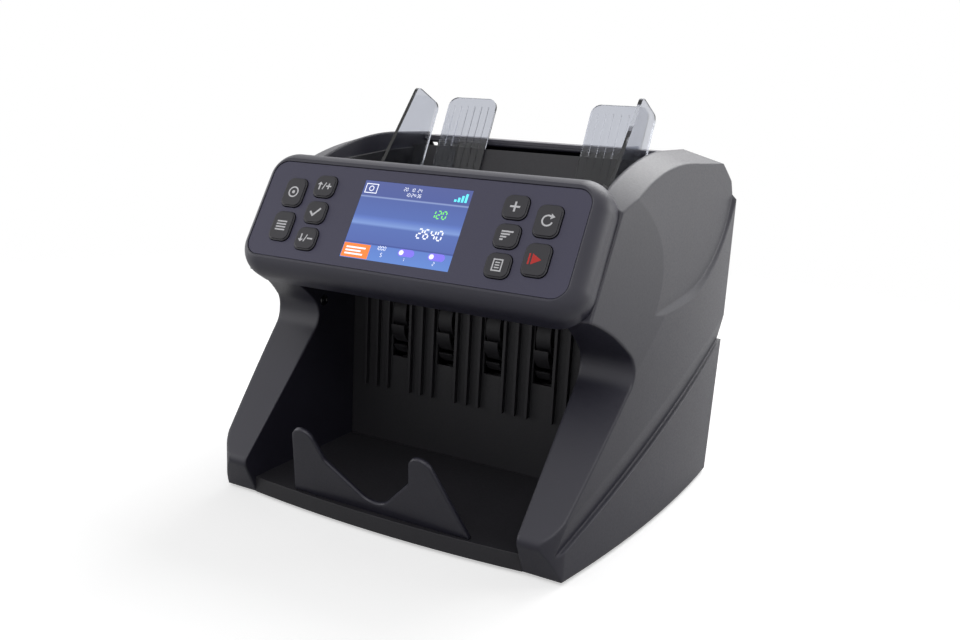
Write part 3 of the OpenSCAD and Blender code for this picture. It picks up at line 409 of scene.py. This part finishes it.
@dataclass(frozen=True)
class Ink(Finish):
    """Printed or lit mark: even colour, a little uneven in gloss."""

    glow: float = 0.0
    speck_mm: float = 0.6
    spread: float = 0.1

    def fill(self, tree: bpy.types.NodeTree, shader: bpy.types.Node, place: bpy.types.NodeSocket) -> None:
        """Adds the print's uneven gloss and, on the screen, its light.

        Args:
            tree: The material's tree.
            shader: Its Principled shader.
            place: Object coordinates, in metres.
        """
        shader.inputs["Emission Color"].default_value = linear(self.colour)
        shader.inputs["Emission Strength"].default_value = self.glow
        specks = add_node(
            tree, "ShaderNodeTexNoise", {"Vector": place}, {"Scale": 1 / (self.speck_mm * MM)},
        )
        gloss = add_node(
            tree, "ShaderNodeMapRange", {"Value": specks.outputs["Fac"]},
            {"To Min": self.roughness - self.spread, "To Max": self.roughness + self.spread},
        )
        tree.links.new(gloss.outputs["Result"], shader.inputs["Roughness"])


# ABS from a spark-textured mould: satin charcoal, highlights spread wide. The real grain is about 0.3 mm
# and is drawn coarser so that it shows.
SHELL_ABS = Grained("abs_charcoal_spark_textured", "#272632", 0.42, edge_mm=2.4, edge_highlight=0.12)
# The same ABS in a smoother tool, for the bezel and its overhang.
BEZEL_ABS = Grained("abs_charcoal_fine_textured", "#2e2d3a", 0.42, grain_mm=0.9, relief_mm=0.02, edge_mm=0.8)
# Glass-filled ABS, dull and nearly black, for what sits in the shade.
INNER_ABS = Grained("abs_black_moulded_dull", "#1d1c21", 0.58, mottle=0.15, edge_highlight=0.2)
# ABS lid with a smoother, paler skin.
LID_ABS = Grained("abs_grey_moulded_lid", "#5d5b64", 0.40, grain_mm=0.9)
# Polycarbonate film with a velvet front: even, soft, no sharp highlight.
OVERLAY_FILM = Grained(
    "polycarbonate_velvet_film", "#34324a", 0.55,
    ior=1.58, grain_mm=0.8, relief_mm=0.015, edge_mm=0.3, mottle=0.05,
)
# Moulded ABS key caps: darker than the film, slightly glossy.
KEY_CAP = Grained(
    "abs_key_cap_moulded", "#14121b", 0.48, grain_mm=0.8, relief_mm=0.015, edge_mm=0.7, mottle=0.06,
)
# Nitrile rubber, ground: dull black with pale dust.
ROLLER_RUBBER = Grained(
    "nitrile_rubber_ground", "#2b2a2a", 0.78, ior=1.52, grain_mm=0.6, relief_mm=0.05, mottle=0.2, edge_highlight=0.3,
)
# Polyurethane wheel, moulded: smoother black.
WHEEL_RUBBER = Grained(
    "polyurethane_moulded", "#232226", 0.6, ior=1.5, grain_mm=0.8, relief_mm=0.03, mottle=0.15,
)
# Baked enamel on steel: slight orange peel.
MOTOR_ENAMEL = Grained("enamel_baked_on_steel", "#55555a", 0.35, ior=1.5, grain_mm=1.6, relief_mm=0.03)
# Glossy nylon of the mains inlet and rocker.
INLET_NYLON = Grained("nylon_black_moulded_gloss", "#1b1b1d", 0.28, ior=1.53, relief_mm=0.012, mottle=0.1)
# Infra-red window: gloss black acrylic.
SENSOR_ACRYLIC = Grained("acrylic_black_infrared", "#16151a", 0.16, ior=1.49, relief_mm=0.006, edge_mm=0.3)
# Smoke acrylic sheet: clear, greyed a little by each pass of light.
SMOKE_ACRYLIC = ClearSheet("acrylic_smoke_polished", "#bdc0c9", 0.04)
# Ground steel shaft: rings from the grinding wheel.
SHAFT_STEEL = Metal("steel_ground_shaft", "#b9babd", 0.30, Lay.TURNED, 0.7)
# Steel blackened in a hot salt bath: dark grey with a low sheen.
BLACK_STEEL = Metal("steel_black_oxide", "#3a3a3e", 0.45, Lay.TURNED, 0.7)
# Zinc-plated steel sheet: faint lines from rolling.
PLATE_STEEL = Metal("steel_zinc_plated_sheet", "#a9acb0", 0.38, Lay.BRUSHED, 0.9)
# Turned aluminium: bright rings.
TURNED_ALLOY = Metal("aluminium_turned", "#c9cacd", 0.33, Lay.TURNED, 0.6)
# Solder-masked board: glossy green with paler tracks.
BOARD = CircuitBoard("glass_epoxy_solder_masked", "#1f5a38", 0.32)
# Screen-printed inks of the key marks.
PALE_INK = Ink("ink_screen_printed_pale", "#ececf0", 0.5)
RED_INK = Ink("ink_screen_printed_red", "#d8342f", 0.5)
# Lit colours of the screen's marks.
LIT_WHITE = Ink("screen_light_white", "#eef2ff", 0.3, 0.75)
LIT_GREEN = Ink("screen_light_green", "#7ff06a", 0.3, 0.75)
LIT_CYAN = Ink("screen_light_cyan", "#68e6f4", 0.3, 0.75)
LIT_ORANGE = Ink("screen_light_orange", "#f0803a", 0.3, 0.75)
LIT_VIOLET = Ink("screen_light_violet", "#7b6fe0", 0.3, 0.75)


def dress(nodes: Nodes, finish: Finish, names: Iterable[str]) -> None:
    """Gives CAD nodes a finish.

    Args:
        nodes: The frame's nodes.
        finish: Finish that they take.
        names: Names of the nodes.
    """
    for name in names:
        slots = nodes[name].data.materials
        slots.clear()
        slots.append(finish.material())
        LOG.info("%s dressed in %s", name, finish.name)


# Flat marks

@dataclass(frozen=True)
class Stroke:
    """Line of even width with mitred corners, in millimetres."""

    points: tuple[Point, ...]
    width: float
    closed: bool = False

    def rails(self) -> tuple[list[Point], list[Point]]:
        """Finds the two edges of the line.

        Returns:
            Points along the left edge and along the right edge.
        """
        count = len(self.points)
        left: list[Point] = []
        right: list[Point] = []
        for i, (x, y) in enumerate(self.points):
            before = self.points[i - 1] if i or self.closed else None
            after = self.points[(i + 1) % count] if i < count - 1 or self.closed else None
            runs = []
            if before is not None:
                runs.append(Vector((x - before[0], y - before[1])).normalized())
            if after is not None:
                runs.append(Vector((after[0] - x, after[1] - y)).normalized())
            run = sum(runs, Vector((0.0, 0.0))).normalized()
            across = Vector((-run.y, run.x))
            half = self.width / 2 / max(MITRE_LIMIT, run.dot(runs[0]))
            left.append((x + across.x * half, y + across.y * half))
            right.append((x - across.x * half, y - across.y * half))
        return left, right


@dataclass(frozen=True)
class Patch:
    """Filled outline, in millimetres."""

    points: tuple[Point, ...]


Shape = Stroke | Patch


def arc(centre: Point, radius: float, start: float, stop: float, steps: int) -> tuple[Point, ...]:
    """Points along an arc.

    Args:
        centre: Centre in millimetres.
        radius: Radius in millimetres.
        start: First angle in degrees.
        stop: Last angle in degrees.
        steps: Number of pieces that the arc has.

    Returns:
        The points, both ends among them.
    """
    angles = [math.radians(start + (stop - start) * i / steps) for i in range(steps + 1)]
    return tuple((centre[0] + radius * math.cos(a), centre[1] + radius * math.sin(a)) for a in angles)


def circle(centre: Point, radius: float) -> tuple[Point, ...]:
    """Points around a circle, every 15 degrees."""
    return arc(centre, radius, 0, 345, 23)


def ring(centre: Point, radius: float, width: float) -> Stroke:
    """Closed ring of a given width."""
    return Stroke(circle(centre, radius), width, True)


def disc(centre: Point, radius: float) -> Patch:
    """Filled round spot."""
    return Patch(circle(centre, radius))


def block(x0: float, y0: float, x1: float, y1: float) -> Patch:
    """Filled rectangle between two corners."""
    return Patch(((x0, y0), (x1, y0), (x1, y1), (x0, y1)))


def frame_line(x0: float, y0: float, x1: float, y1: float, width: float) -> Stroke:
    """Rectangle drawn as a line."""
    return Stroke(((x0, y0), (x1, y0), (x1, y1), (x0, y1)), width, True)


def cross(x: float, y: float, arm: float, width: float) -> Patch:
    """Plus sign as one outline.

    Args:
        x: Middle of the sign in millimetres.
        y: Middle of the sign in millimetres.
        arm: Length of each arm from the middle.
        width: Width of the arms.

    Returns:
        The sign's outline.
    """
    a, w = arm, width / 2
    corners = (
        (w, w), (w, a), (-w, a), (-w, w), (-a, w), (-a, -w),
        (-w, -w), (-w, -a), (w, -a), (w, -w), (a, -w), (a, w),
    )
    return Patch(tuple((x + dx, y + dy) for dx, dy in corners))


def arrow(x: float, y: float, height: float, width: float, turn: int) -> Patch:
    """Straight arrow that points up or down.

    Args:
        x: Middle of the arrow.
        y: Middle of the arrow.
        height: Length of the arrow.
        width: Width of its shaft.
        turn: 1 for up, -1 for down.

    Returns:
        The arrow's outline.
    """
    h, w, head = height / 2, width / 2, height * HEAD_SHARE
    neck = h - head
    corners = ((-w, -h), (w, -h), (w, neck), (head, neck), (0.0, h), (-head, neck), (-w, neck))
    return Patch(tuple((x + turn * dx, y + turn * dy) for dx, dy in corners))


# Which of the seven bars of a plain figure are lit, each bar as its two ends on a grid of 1 by 2
BARS = {
    "a": ((0, 2), (1, 2)), "b": ((1, 2), (1, 1)), "c": ((1, 1), (1, 0)), "d": ((1, 0), (0, 0)),
    "e": ((0, 0), (0, 1)), "f": ((0, 1), (0, 2)), "g": ((0, 1), (1, 1)),
}
LIT_BARS = {
    "0": "abcdef", "1": "bc", "2": "abged", "3": "abgcd", "4": "fgbc",
    "5": "afgcd", "6": "afgedc", "7": "abc", "8": "abcdefg", "9": "abcdfg",
}


def figures(text: str, x: float, y: float, height: float) -> list[Shape]:
    """Plain seven-bar figures.

    Args:
        text: Digits, colons and spaces.
        x: Left end in millimetres.
        y: Foot in millimetres.
        height: Height in millimetres.

    Returns:
        One short line for each lit bar.
    """
    shapes: list[Shape] = []
    wide, width, lean = 0.5 * height, 0.15 * height, 0.08
    for sign in text:
        if sign == ":":
            for share in (0.3, 0.7):
                shapes.append(disc((x + lean * height * share, y + height * share), width * 0.6))
            x += 0.35 * height
            continue
        for bar in LIT_BARS.get(sign, ""):
            ends = [Vector((x + wide * u + lean * height * v / 2, y + height * v / 2)) for u, v in BARS[bar]]
            trim = (ends[1] - ends[0]).normalized() * width * 0.6
            shapes.append(Stroke((tuple(ends[0] + trim), tuple(ends[1] - trim)), width))
        x += 0.78 * height
    return shapes


def put_piece(mesh: bmesh.types.BMesh, name: str, finish: Finish, body: str) -> None:
    """Turns a mesh to a piece that rides on a body.

    Args:
        mesh: Closed mesh in the part's frame, which is freed.
        name: Name of the piece.
        finish: Finish that it takes.
        body: CAD body that carries it.
    """
    bmesh.ops.recalc_face_normals(mesh, faces=mesh.faces)
    data = bpy.data.meshes.new(name)
    mesh.to_mesh(data)
    mesh.free()
    data.materials.append(finish.material())
    piece = bpy.data.objects.new(name, data)
    bpy.context.scene.collection.objects.link(piece)
    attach(piece, body)
    LOG.info("%s built, rides on %s", name, body)


class MarkMesh:
    """Gathers flat marks into one thin closed mesh on a face."""

    def __init__(self, place: Callable[[float, float, float], Vector], low_mm: float, high_mm: float) -> None:
        """Starts an empty mesh.

        Args:
            place: Turns millimetres on the face to a point in the part's frame.
            low_mm: Height of the marks' underside over the face.
            high_mm: Height of their top.
        """
        self.mesh = bmesh.new()
        self.place = place
        self.heights = (low_mm, high_mm)

    def corner(self, point: Point) -> tuple[bmesh.types.BMVert, bmesh.types.BMVert]:
        """Low and high vertex over one point of the face."""
        low, high = (self.mesh.verts.new(self.place(point[0], point[1], h)) for h in self.heights)
        return low, high

    def add(self, shapes: Iterable[Shape]) -> MarkMesh:
        """Adds shapes as thin solids.

        Args:
            shapes: Lines and filled outlines.

        Returns:
            This mesh, for a chain of calls.
        """
        for shape in shapes:
            if isinstance(shape, Patch):
                self.fill(shape.points)
            else:
                self.line(shape)
        return self

    def fill(self, points: Sequence[Point]) -> None:
        """Adds a filled outline.

        Args:
            points: The outline in millimetres, counter-clockwise.
        """
        pairs = [self.corner(p) for p in points]
        self.mesh.faces.new([low for low, _ in reversed(pairs)])
        self.mesh.faces.new([high for _, high in pairs])
        for (a, b), (c, d) in zip(pairs, pairs[1:] + pairs[:1]):
            self.mesh.faces.new((a, c, d, b))

    def line(self, stroke: Stroke) -> None:
        """Adds a line of even width.

        Args:
            stroke: The line, open or closed.
        """
        left, right = ([self.corner(p) for p in rail] for rail in stroke.rails())
        last = len(left)
        for i in range(last if stroke.closed else last - 1):
            j = (i + 1) % last
            self.mesh.faces.new((left[i][1], right[i][1], right[j][1], left[j][1]))
            self.mesh.faces.new((left[i][0], left[j][0], right[j][0], right[i][0]))
            self.mesh.faces.new((left[i][0], left[i][1], left[j][1], left[j][0]))
            self.mesh.faces.new((right[i][0], right[j][0], right[j][1], right[i][1]))
        if not stroke.closed:
            for i in (0, last - 1):
                self.mesh.faces.new((left[i][0], right[i][0], right[i][1], left[i][1]))


# Sub-assemblies

@dataclass
class Shell:
    """Outer mouldings: side covers, bezel, rear cover, base."""

    nodes: Nodes
    covers: tuple[str, ...] = (
        "left_side_cover", "right_side_cover", "rear_cover", "lower_rear_panel", "front_stop_plate",
    )

    def dress(self) -> None:
        """Gives each moulding its plastic."""
        dress(self.nodes, SHELL_ABS, self.covers)
        dress(self.nodes, BEZEL_ABS, ("control_panel_housing",))
        dress(self.nodes, INNER_ABS, ("base_tray", "pocket_back_wall", "hopper_floor"))
        dress(self.nodes, LID_ABS, ("rear_lid",))
        dress(self.nodes, ROLLER_RUBBER, ("rubber_feet",))
        dress(self.nodes, PLATE_STEEL, ("cover_screws",))


@dataclass
class ControlPanel:
    """Slanted panel: film, screen and ten keys with their printed marks."""

    nodes: Nodes
    joints: Sequence[Mapping[str, Any]]
    sink_mm: float = 0.03
    rise_mm: float = 0.05
    line_mm: float = 0.95
    keys: tuple[str, ...] = (
        "key_up", "key_confirm", "key_down", "key_currency", "key_batch", "key_add", "key_sort", "key_report",
        "key_mode", "key_start",
    )
    out: Vector = field(init=False)
    up: Vector = field(init=False)

    def __post_init__(self) -> None:
        """Takes the panel's slant from the way that its keys press."""
        press = next(j for j in self.joints if j["name"] == "key_up_press")
        self.out = -Vector(press["axis"]).normalized()
        self.up = self.out.cross(Vector((1.0, 0.0, 0.0)))

    def reach(self, node: str) -> tuple[Vector, Vector]:
        """Finds a node's box along the panel's own axes.

        Args:
            node: Name of a CAD node.

        Returns:
            Lowest and highest corner as right, up and out, in metres.
        """
        spots = [v.co for v in self.nodes[node].data.vertices]
        rows = [(s.x, s.dot(self.up), s.dot(self.out)) for s in spots]
        low, high = (Vector(pick(r[i] for r in rows) for i in range(3)) for pick in (min, max))
        return low, high

    def spot(self, node: str) -> Callable[[float, float, float], Vector]:
        """Makes the placing function of a node's outer face.

        Args:
            node: Name of the CAD node that the marks sit on.

        Returns:
            A function from millimetres on the face to a point in the part's frame.
        """
        low, high = self.reach(node)
        mid = (low + high) / 2
        right = Vector((1.0, 0.0, 0.0))

        def place(x_mm: float, y_mm: float, h_mm: float) -> Vector:
            """Finds a point on the face.

            Args:
                x_mm: Way to the right of the face's middle.
                y_mm: Way up the slant from the middle.
                h_mm: Height over the face.

            Returns:
                The point in the part's frame, in metres.
            """
            across = right * (mid.x + x_mm * MM)
            climb = self.up * (mid.y + y_mm * MM)
            return across + climb + self.out * (high.z + h_mm * MM)

        return place

    def marks(self) -> dict[str, list[Shape]]:
        """Plain symbols of the keys, in millimetres about each key's middle.

        Returns:
            Shapes by key.
        """
        w = self.line_mm
        slash = Stroke(((-0.9, -2.3), (0.9, 2.3)), w * 0.8)
        turn = arc((0.0, 0.0), 3.0, 60, 345, 20)
        return {
            "key_up": [arrow(-3.2, 0.0, 5.2, w, 1), slash, cross(3.3, 0.0, 1.9, w)],
            "key_confirm": [Stroke(((-3.4, 0.2), (-1.0, -2.3), (3.6, 2.6)), w * 1.3)],
            "key_down": [arrow(-3.2, 0.0, 5.2, w, -1), slash, Stroke(((1.4, 0.0), (5.2, 0.0)), w)],
            "key_currency": [ring((0.0, 0.0), 3.2, w), disc((0.0, 0.0), 1.1)],
            "key_batch": [block(-3.6, y - w / 2, 3.6, y + w / 2) for y in (-2.7, -0.9, 0.9, 2.7)],
            "key_add": [cross(0.0, 0.0, 3.0, w * 1.2)],
            "key_sort": [block(-3.4, y - w / 2, -3.4 + 2.0 + 1.7 * i, y + w / 2)
                         for i, y in enumerate((-2.4, -0.8, 0.8, 2.4))],
            "key_report": [frame_line(-2.6, -3.2, 2.6, 3.2, w * 0.8)]
            + [block(-1.4, y - w / 2.6, 1.4, y + w / 2.6) for y in (-1.5, 0.0, 1.5)],
            "key_mode": [Stroke(turn, w), Patch(((1.4, 4.3), (1.4, 0.9), (4.0, 2.4)))],
            "key_start": [Patch(((-2.4, -3.2), (3.2, 0.0), (-2.4, 3.2))), block(-4.4, -3.2, -3.4, 3.2)],
        }

    def build(self) -> None:
        """Prints the keys' marks and draws the screen's picture."""
        for key, shapes in self.marks().items():
            ink = RED_INK if key == "key_start" else PALE_INK
            sheet = MarkMesh(self.spot(key), -self.sink_mm, self.rise_mm).add(shapes)
            put_piece(sheet.mesh, f"{key}_mark", ink, f"{key}_cap")
        under = self.rise_mm / 2
        picture: list[tuple[str, Finish, float, list[Shape]]] = [
            ("screen_white_marks", LIT_WHITE, self.rise_mm, [
                *figures("20 10 24", -8.4, 20.3, 2.0),
                *figures("10:24:36", -6.2, 17.0, 2.0),
                *figures("2640", 9.5, -7.4, 5.6),
                *figures("1000", -13.6, -17.6, 2.2),
                *figures("5", -9.6, -21.6, 2.2),
                *figures("1", 5.6, -22.4, 2.0),
                *figures("2", 25.4, -22.4, 2.0),
                frame_line(-34.6, 16.9, -26.6, 22.6, 0.5),
                ring((-30.6, 19.75), 1.5, 0.5),
                *(block(-33.8, y, x, y + 1.0) for x, y in ((-20.4, -18.6), (-23.2, -20.6), (-21.4, -22.6))),
                disc((3.6, -17.4), 1.5),
                disc((23.4, -17.4), 1.5),
            ]),
            ("screen_green_number", LIT_GREEN, self.rise_mm, figures("120", 14.5, 5.6, 4.6)),
            ("screen_cyan_mark", LIT_CYAN, self.rise_mm, [
                block(26.0 + 2.2 * i, 16.9, 27.5 + 2.2 * i, 18.4 + 1.3 * i) for i in range(4)
            ]),
            ("screen_orange_block", LIT_ORANGE, under, [block(-35.9, -24.3, -17.6, -15.6)]),
            ("screen_pill_toggles", LIT_VIOLET, under, [
                Patch(arc((x, -17.4), 2.2, 90, 270, 12) + arc((x + 6.4, -17.4), 2.2, -90, 90, 12))
                for x in (3.6, 23.4)
            ]),
        ]
        for name, finish, rise, shapes in picture:
            sheet = MarkMesh(self.spot("display_window"), -self.sink_mm, rise).add(shapes)
            put_piece(sheet.mesh, name, finish, "chassis")

    def dress(self) -> None:
        """Gives film, keys and screen their finishes."""
        low, high = self.reach("display_window")
        screen = LiquidCrystal(
            "liquid_crystal_lit_blue", "#11131d", 0.22, tuple(self.up), low.y, high.y,
            rows=(
                (0.0, "#6f9cf2"), (0.185, "#6a92ea"), (0.2, "#3f55a8"), (0.215, "#5a74c6"),
                (0.42, "#5f7ccd"), (0.45, "#8fb0f6"), (0.52, "#6a8ae0"), (0.56, "#5d7acb"),
                (0.78, "#5a72c0"), (0.795, "#a9bdf2"), (0.81, "#5567b2"), (1.0, "#5a69b0"),
            ),
        )
        dress(self.nodes, OVERLAY_FILM, ("panel_overlay",))
        dress(self.nodes, screen, ("display_window",))
        dress(self.nodes, KEY_CAP, self.keys)
        dress(self.nodes, INNER_ABS, ("display_module",))
        dress(self.nodes, BOARD, ("key_boards",))


@dataclass
class Hopper:
    """Feed hopper: clear side guides and paddles with their sliders."""

    nodes: Nodes

    def dress(self) -> None:
        """Gives the clear plates and their drive their finishes."""
        dress(self.nodes, SMOKE_ACRYLIC, (
            "hopper_guide_left", "hopper_guide_right", "rear_paddle_left", "rear_paddle_right",
        ))
        dress(self.nodes, INNER_ABS, (
            "guide_slider_left", "guide_slider_right", "guide_pinion", "guide_rail",
        ))


@dataclass
class Feeder:
    """Feed path inside the shell: plates, shafts, rollers, drive, boards."""

    nodes: Nodes

    def dress(self) -> None:
        """Gives each working part its metal or rubber."""
        dress(self.nodes, PLATE_STEEL, ("frame_plate_left", "frame_plate_right", "power_supply"))
        dress(self.nodes, SHAFT_STEEL, ("pick_shaft", "feed_shaft", "shaft_bearings", "rear_hinge_pin"))
        dress(self.nodes, BLACK_STEEL, ("stacker_shaft", "transport_shaft"))
        dress(self.nodes, ROLLER_RUBBER, (
            "pick_rollers", "feed_rollers", "retard_roller", "transport_rollers", "pinch_roller",
            "drive_belts",
        ))
        dress(self.nodes, WHEEL_RUBBER, ("stacker_wheels",))
        dress(self.nodes, MOTOR_ENAMEL, ("drive_motor",))
        dress(self.nodes, TURNED_ALLOY, ("motor_pulley", "transport_pulley", "feed_pulley", "stacker_pulley"))
        dress(self.nodes, SENSOR_ACRYLIC, ("sensor_bar",))
        dress(self.nodes, BOARD, ("main_board",))


@dataclass
class PocketSensors:
    """Pair of infra-red lenses that face each other across the pocket."""

    wall_x: float = 94.5 * MM
    centre_y: float = -31.6 * MM
    centre_z: float = 116.0 * MM
    steps: int = 32
    profile_mm: tuple[Point, ...] = (
        (0.0, 0.9), (1.2, 0.8), (2.0, 0.45), (2.3, 0.25), (2.5, 0.7), (3.3, 0.7), (3.7, 0.35), (3.8, -0.2),
    )

    def build(self) -> None:
        """Turns each lens and sets it on its wall."""
        for side, inward in (("left", 1.0), ("right", -1.0)):
            mesh = bmesh.new()
            rings = []
            for radius, height in self.profile_mm:
                x = inward * (height * MM - self.wall_x)
                turns = self.steps if radius else 1
                angles = [math.tau * i / turns for i in range(turns)]
                rings.append([
                    mesh.verts.new((
                        x,
                        self.centre_y + radius * MM * math.cos(a),
                        self.centre_z + radius * MM * math.sin(a),
                    ))
                    for a in angles
                ])
            for i in range(self.steps):
                j = (i + 1) % self.steps
                mesh.faces.new((rings[0][0], rings[1][i], rings[1][j]))
                for inner, outer in zip(rings[1:], rings[2:]):
                    mesh.faces.new((inner[i], outer[i], outer[j], inner[j]))
            mesh.faces.new(rings[-1])
            put_piece(mesh, f"pocket_sensor_{side}", SENSOR_ACRYLIC, "chassis")


@dataclass
class RearService:
    """Mains inlet, rocker switch and the dust lip under the rear cover's hinge."""

    nodes: Nodes
    lip_half: float = 92.0 * MM
    lip_foot_z: float = 51.8 * MM
    lip_profile_mm: tuple[Point, ...] = (
        (0.5, 0.0), (2.0, 0.0), (2.0, 9.0), (1.7, 14.0), (1.9, 16.0), (1.6, 17.0), (0.9, 17.2), (0.3, 16.6),
        (0.3, 15.8), (0.7, 14.0), (0.5, 9.0),
    )

    def build(self) -> None:
        """Sets a moulded lip on the lower panel's top edge, which closes the gap behind the hinge."""
        low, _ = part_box("lower_rear_panel")
        mesh = bmesh.new()
        ends = [
            [mesh.verts.new((x, low.y + y * MM, self.lip_foot_z + z * MM)) for y, z in self.lip_profile_mm]
            for x in (-self.lip_half, self.lip_half)
        ]
        for end in ends:
            mesh.faces.new(end)
        for i in range(len(self.lip_profile_mm)):
            j = i - 1
            mesh.faces.new((ends[0][i], ends[0][j], ends[1][j], ends[1][i]))
        put_piece(mesh, "rear_dust_lip", WHEEL_RUBBER, "chassis")

    def dress(self) -> None:
        """Gives the inlet and the rocker their gloss."""
        dress(self.nodes, INLET_NYLON, ("power_inlet", "power_rocker"))


@dataclass(frozen=True)
class Softbox:
    """Square soft lamp that aims at a point."""

    name: str
    place: tuple[float, float, float]
    aim: tuple[float, float, float]
    size: float
    watts: float

    def build(self) -> None:
        """Sets the lamp in the scene."""
        lamp = bpy.data.lights.new(self.name, "AREA")
        lamp.shape = "SQUARE"
        lamp.size = self.size
        lamp.energy = self.watts
        holder = bpy.data.objects.new(self.name, lamp)
        holder.location = self.place
        holder.rotation_euler = (Vector(self.aim) - Vector(self.place)).to_track_quat("-Z", "Y").to_euler()
        bpy.context.scene.collection.objects.link(holder)


@dataclass
class Studio:
    """Camera, white sweep and soft lamps."""

    focal_mm: float = 35.559
    sensor_mm: float = 36.0
    azimuth_deg: float = 27.9
    elevation_deg: float = 13.14
    roll_deg: float = 2.92
    camera_place: tuple[float, float, float] = (0.28966, -0.53204, 0.25298)
    near_clip: float = 0.01
    floor_radius: float = 1.1
    floor_sides: int = 96
    fade_from: float = 0.35
    fade_to: float = 1.0
    sky_level: float = 0.20
    paper: str = "#f7f7f7"
    paper_bounce: str = "#8a8a8a"
    paper_lift: float = 0.5
    lamps: tuple[Softbox, ...] = (
        Softbox("key_softbox", (0.45, -1.2, 1.5), (0.0, 0.0, 0.1), 1.0, 9.0),
        Softbox("top_softbox", (0.15, 1.3, 1.45), (0.0, 0.0, 0.15), 1.2, 18.0),
        Softbox("side_softbox", (1.45, 1.1, 0.6), (0.1, 0.06, 0.1), 0.9, 6.0),
        Softbox("fill_softbox", (-1.5, -0.7, 0.45), (-0.05, 0.0, 0.12), 0.9, 5.0),
    )

    def build(self) -> None:
        """Sets up camera, lamps, world and floor."""
        self.aim_camera()
        for lamp in self.lamps:
            lamp.build()
        self.light_world()
        self.lay_floor()
        bpy.context.scene.view_settings.view_transform = "Standard"

    def aim_camera(self) -> None:
        """Sets the camera at the photograph's angle."""
        azimuth = math.radians(self.azimuth_deg)
        elevation = math.radians(self.elevation_deg)
        roll = math.radians(self.roll_deg)
        ahead = Vector((
            -math.sin(azimuth) * math.cos(elevation),
            math.cos(azimuth) * math.cos(elevation),
            -math.sin(elevation),
        ))
        right = Vector((math.cos(azimuth), math.sin(azimuth), 0.0))
        above = right.cross(ahead)
        right_rolled = right * math.cos(roll) + above * math.sin(roll)
        above_rolled = above * math.cos(roll) - right * math.sin(roll)
        data = bpy.data.cameras.new("camera")
        data.lens = self.focal_mm
        data.sensor_width = self.sensor_mm
        data.clip_start = self.near_clip
        camera = bpy.data.objects.new("camera", data)
        turn = Matrix((right_rolled, above_rolled, -ahead)).transposed().to_4x4()
        camera.matrix_world = Matrix.Translation(self.camera_place) @ turn
        bpy.context.scene.collection.objects.link(camera)
        bpy.context.scene.camera = camera

    def light_world(self) -> None:
        """Makes a world that lights softly and looks white to camera, gloss and glass."""
        world = bpy.data.worlds.new("white_studio")
        world.use_nodes = True
        bpy.context.scene.world = world
        tree = world.node_tree
        level = add_node(
            tree, "ShaderNodeMapRange", {"Value": seen_directly(tree)},
            {"To Min": self.sky_level, "To Max": 1.0},
        )
        background = tree.nodes["Background"]
        background.inputs["Color"].default_value = (1.0, 1.0, 1.0, 1.0)
        tree.links.new(level.outputs["Result"], background.inputs["Strength"])

    def lay_floor(self) -> None:
        """Lays a pale floor that takes the shadow and fades to the white around it."""
        mesh = bmesh.new()
        bmesh.ops.create_circle(mesh, cap_ends=True, segments=self.floor_sides, radius=self.floor_radius)
        data = bpy.data.meshes.new("floor")
        mesh.to_mesh(data)
        mesh.free()
        floor = bpy.data.objects.new("floor", data)
        bpy.context.scene.collection.objects.link(floor)
        material = bpy.data.materials.new("paper_sweep_matt_white")
        material.use_nodes = True
        tree = material.node_tree
        tree.nodes.clear()
        place = add_node(tree, "ShaderNodeTexCoord").outputs["Object"]
        away = add_node(tree, "ShaderNodeVectorMath", {0: place}, operation="LENGTH")
        fade = add_node(
            tree, "ShaderNodeMapRange", {"Value": away.outputs["Value"]},
            {"From Min": self.fade_from, "From Max": self.fade_to}, interpolation_type="SMOOTHSTEP",
        )
        seen = seen_directly(tree)
        tone = add_node(
            tree, "ShaderNodeMix", {0: seen}, {6: linear(self.paper_bounce), 7: linear(self.paper)},
            data_type="RGBA",
        )
        to_camera = add_node(tree, "ShaderNodeLightPath").outputs["Is Camera Ray"]
        lift = add_node(tree, "ShaderNodeMath", {0: to_camera}, {1: self.paper_lift}, operation="MULTIPLY")
        paper = add_node(tree, "ShaderNodeBsdfDiffuse", {"Color": tone.outputs[2]})
        glow = add_node(tree, "ShaderNodeEmission", {"Strength": lift.outputs["Value"]})
        sweep = add_node(tree, "ShaderNodeAddShader", {0: paper.outputs["BSDF"], 1: glow.outputs["Emission"]})
        clear = add_node(tree, "ShaderNodeBsdfTransparent")
        mixed = add_node(
            tree, "ShaderNodeMixShader",
            {0: fade.outputs["Result"], 1: sweep.outputs["Shader"], 2: clear.outputs["BSDF"]},
        )
        add_node(tree, "ShaderNodeOutputMaterial", {"Surface": mixed.outputs["Shader"]})
        data.materials.append(material)


def main() -> None:
    """Loads the frame, builds and dresses each sub-assembly."""
    logging.basicConfig(level=logging.INFO, format="%(message)s")
    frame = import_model()
    nodes: Nodes = frame["nodes"]
    Studio().build()
    panel = ControlPanel(nodes, frame["joints"])
    rear = RearService(nodes)
    for group in (panel, rear, PocketSensors()):
        group.build()
    for group in (Shell(nodes), panel, Hopper(nodes), Feeder(nodes), rear):
        group.dress()


if __name__ == "__main__":
    main()
